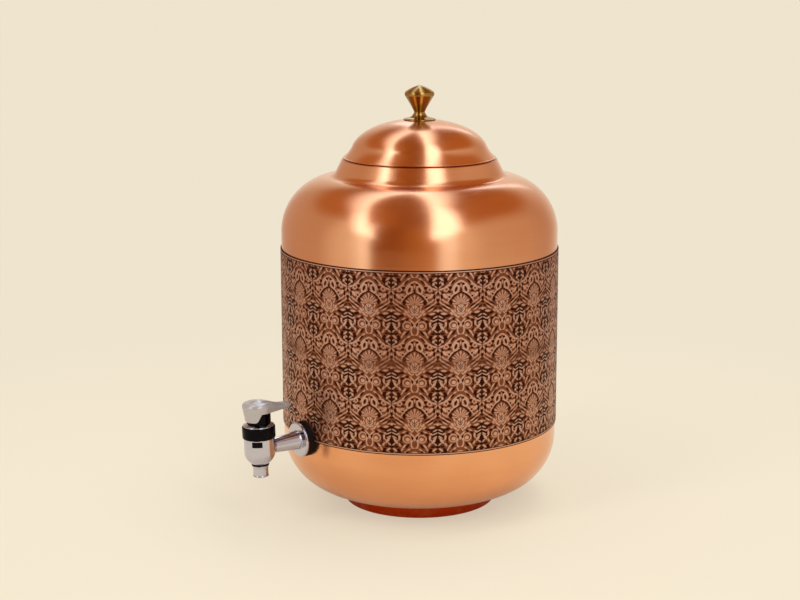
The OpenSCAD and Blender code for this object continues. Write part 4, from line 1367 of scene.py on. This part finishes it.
# The studio in reflections: colours round the walls by degrees to the right of the camera's direction, a
# ceiling that is darker in the middle than at its sides, and two strips of light overhead. A strip has the
# direction in which it runs, its side of the object, its inner and outer edge, the growth of its width
# towards the camera, and the softness of its outer edge, all lengths as shares of its height.
DUSK, WALL = (0.31, 0.105, 0.015), (0.62, 0.45, 0.34)
PANEL, BACK = (1.35, 1.5, 1.65), (0.90, 0.80, 0.66)
STUDIO_WALLS = (
    (-180, BACK), (-150, WALL), (-95, WALL), (-62, (0.90, 0.82, 0.74)), (-54, (1.05, 1.05, 1.05)),
    (-48, PANEL), (-44, PANEL), (-37, DUSK), (-20, DUSK), (-8, (0.42, 0.18, 0.045)),
    (11, (0.56, 0.28, 0.10)), (20, PANEL), (27, PANEL), (36, (0.95, 0.85, 0.76)),
    (60, (0.76, 0.64, 0.54)), (95, (0.73, 0.58, 0.47)), (130, WALL), (180, BACK),
)
STUDIO_CEILING = ((0.34, 0.13, 0.03), (0.50, 0.21, 0.065))
STUDIO_LIGHT = (2.6, 2.95, 3.5)
STUDIO_STRIPS = ((-29, -1, 0.43, 0.58, 0.38, 0.24), (8, 1, 0.08, 0.22, 0.45, 0.13))
# The even light that matt surfaces get from the studio
DAYLIGHT = (0.84, 0.80, 0.73)
LAMP_COLOUR = (1.0, 0.98, 0.95)
# Lamps hold their degrees to the right of the camera's direction, distance, height, width, length and power.
SOFTBOXES = {
    "left_softbox": (-48, 1.5, 1.2, 0.5, 1.3, 8),
    "right_softbox": (22, 1.5, 1.2, 0.5, 1.3, 8),
    "top_softbox": (120, 0.5, 1.9, 1.2, 0.8, 9),
}
FLOOR_RADIUS, FLOOR_STEPS, AIM_HEIGHT = 0.8, 96, 0.3


class DISPENSER_OT_stage(bpy.types.Operator):
    """Lay the floor and set the world, the lamps and the camera"""

    bl_idname = "dispenser.stage"
    bl_label = "Stage"

    def execute(self, context):
        stage = context.scene.dispenser.stage
        context.scene.view_settings.view_transform = "Standard"
        self.floor(stage)
        self.world(context.scene, stage)
        for name, sizes in SOFTBOXES.items():
            self.softbox(stage, name, *sizes)
        self.camera(context.scene, stage)
        return {"FINISHED"}

    def toward(self, stage, bearing, away, height):
        """A point at a level distance from the axis, with the bearing taken from the camera's direction."""
        turned = stage.azimuth + bearing
        return Vector((away * math.sin(turned), -away * math.cos(turned), height))

    def seen(self, start):
        """1 for rays that show the background: straight from the camera, or by way of a gloss or glass."""
        path = start.add("ShaderNodeLightPath")
        rays = path.out("Is Camera Ray"), path.out("Is Glossy Ray"), path.out("Is Transmission Ray")
        return rays[0].most(rays[1]).most(rays[2])

    def floor(self, stage):
        """A wide pale floor that shows the background's colour and keeps the shadow."""
        turns = [2 * math.pi * i / FLOOR_STEPS for i in range(FLOOR_STEPS)]
        rim = [(FLOOR_RADIUS * math.cos(t), FLOOR_RADIUS * math.sin(t), 0) for t in turns]
        mesh = bpy.data.meshes.new("floor")
        mesh.from_pydata(rim, [], [range(FLOOR_STEPS)])
        floor = new_piece("floor", mesh)
        material = bpy.data.materials.new("pale_floor")
        start = bare_tree(material)
        place = start.add("ShaderNodeTexCoord", out="Object")
        away = start.add("ShaderNodeVectorMath", {"operation": "LENGTH"}, {0: place}, out="Value")
        glow = start.add("ShaderNodeEmission", None, {"Color": (*stage.backdrop, 1), "Strength": 1.0})
        shade = toned(stage.backdrop, 0.9)
        matt = start.add("ShaderNodeBsdfDiffuse", None, {"Color": (*shade, 1)})
        direct = start.add("ShaderNodeLightPath", out="Is Camera Ray")
        near = away.rise(0.75, 0.2) * (0.85 - direct * 0.45)
        share_matt = 1 - self.seen(start) * (1 - near)
        both = start.add("ShaderNodeMixShader", None, {0: share_matt, 1: glow, 2: matt})
        start.add("ShaderNodeOutputMaterial", None, {"Surface": both})
        mesh.materials.append(material)

    def world(self, scene, stage):
        """The pale background, and for reflections a studio that is dark behind the camera and overhead."""
        world = bpy.data.worlds.new("studio")
        scene.world = world
        start = bare_tree(world)
        path = start.add("ShaderNodeLightPath")
        away = start.add("ShaderNodeTexCoord", out="Generated")
        parts = start.add("ShaderNodeSeparateXYZ", None, {0: away})
        x, y, z = parts.out("X"), parts.out("Y"), parts.out("Z")
        front = x * math.sin(stage.azimuth) - y * math.cos(stage.azimuth)
        right = x * math.cos(stage.azimuth) + y * math.sin(stage.azimuth)
        bearing = right.math("ARCTAN2", front) / (2 * math.pi) + 0.5
        brightest = 2
        stops = [
            (0.5 + degrees / 360, (*[part / brightest for part in colour], 1))
            for degrees, colour in STUDIO_WALLS
        ]
        around = start.add("ShaderNodeValToRGB", {"stops": stops}, {0: bearing})
        walls = start.add("ShaderNodeVectorMath", {"operation": "SCALE"}, {0: around, "Scale": brightest})
        ceiling = abs(right).rise(0.1, 0.5).mix(*STUDIO_CEILING)
        overhead = (z + front.rise(0.2, -0.4) * 0.13).rise(0.54, 0.77)
        walls = overhead.mix(walls, ceiling)
        height = z.most(0.02)
        ahead = (front / height).most(0).least(1.2)
        crisp = 0.03
        for turned, side, inner, outer, growth, fade in STUDIO_STRIPS:
            t = math.radians(turned)
            across = (right * (side * math.cos(t)) - front * (side * math.sin(t))) / height
            past_inner = across.rise(inner - crisp, inner + crisp)
            strip = past_inner * (across - ahead * growth).rise(outer + fade, outer - fade)
            walls = (strip * z.rise(0.22, 0.42)).mix(walls, STUDIO_LIGHT)
        plain = path.out("Is Diffuse Ray").mix(walls, DAYLIGHT)
        colour = path.out("Is Camera Ray").mix(plain, tuple(stage.backdrop))
        sky = start.add("ShaderNodeBackground", None, {"Color": colour, "Strength": 1.0})
        start.add("ShaderNodeOutputWorld", None, {"Surface": sky})

    def softbox(self, stage, name, degrees, away, height, wide, tall, power):
        """A soft lamp that faces the pot and doesn't show in the picture or in reflections."""
        lamp = bpy.data.lights.new(name, "AREA")
        lamp.shape, lamp.size, lamp.size_y, lamp.energy = "RECTANGLE", wide, tall, power
        lamp.color = LAMP_COLOUR
        holder = bpy.data.objects.new(name, lamp)
        holder.location = self.toward(stage, math.radians(degrees), away, height)
        aim = Vector((0, 0, min(height, AIM_HEIGHT))) - holder.location
        holder.rotation_euler = aim.to_track_quat("-Z", "Y").to_euler()
        holder.visible_camera = holder.visible_glossy = False
        bpy.context.collection.objects.link(holder)

    def camera(self, scene, stage):
        """The camera at the photograph's viewing angle."""
        data = bpy.data.cameras.new("camera")
        data.lens, data.sensor_width, data.shift_x = stage.lens, 36, stage.shift
        data.clip_start, data.clip_end = 0.01, 100
        camera = bpy.data.objects.new("camera", data)
        camera.location = self.toward(stage, 0, stage.distance, stage.height)
        aim = Vector((0, 0, stage.target)) - camera.location
        camera.rotation_euler = aim.to_track_quat("-Z", "Y").to_euler()
        bpy.context.collection.objects.link(camera)
        scene.camera = camera


OPERATORS = (
    DISPENSER_OT_pot, DISPENSER_OT_band, DISPENSER_OT_foot, DISPENSER_OT_lid, DISPENSER_OT_knob,
    DISPENSER_OT_tap_body, DISPENSER_OT_tap_fittings, DISPENSER_OT_lever, DISPENSER_OT_spring,
    DISPENSER_OT_small_parts, DISPENSER_OT_stage,
)


class DISPENSER_PT_panel(bpy.types.Panel):
    """Sizes, finishes and steps of the dispenser"""

    bl_idname = "DISPENSER_PT_panel"
    bl_label = "Copper Water Dispenser"
    bl_space_type = "VIEW_3D"
    bl_region_type = "UI"
    bl_category = "Dispenser"

    def draw(self, context):
        settings = context.scene.dispenser
        for part in Dispenser.__annotations__:
            group = getattr(settings, part)
            box = self.layout.box()
            for name in group.__annotations__:
                box.prop(group, name)
        for operator in OPERATORS:
            self.layout.operator(operator.bl_idname)


CLASSES = (
    PotSizes, LidSizes, TapSizes, LeverSizes, Finishes, StageSettings, Dispenser,
    *OPERATORS, DISPENSER_PT_panel,
)


def register():
    for each in CLASSES:
        bpy.utils.register_class(each)
    bpy.types.Scene.dispenser = PointerProperty(
        type=Dispenser, name="Dispenser", description="Settings of the copper water dispenser")


def unregister():
    del bpy.types.Scene.dispenser
    for each in reversed(CLASSES):
        bpy.utils.unregister_class(each)


def main():
    register()
    for operator in OPERATORS:
        group, name = operator.bl_idname.split(".")
        getattr(getattr(bpy.ops, group), name)()


if __name__ == "__main__":
    main()
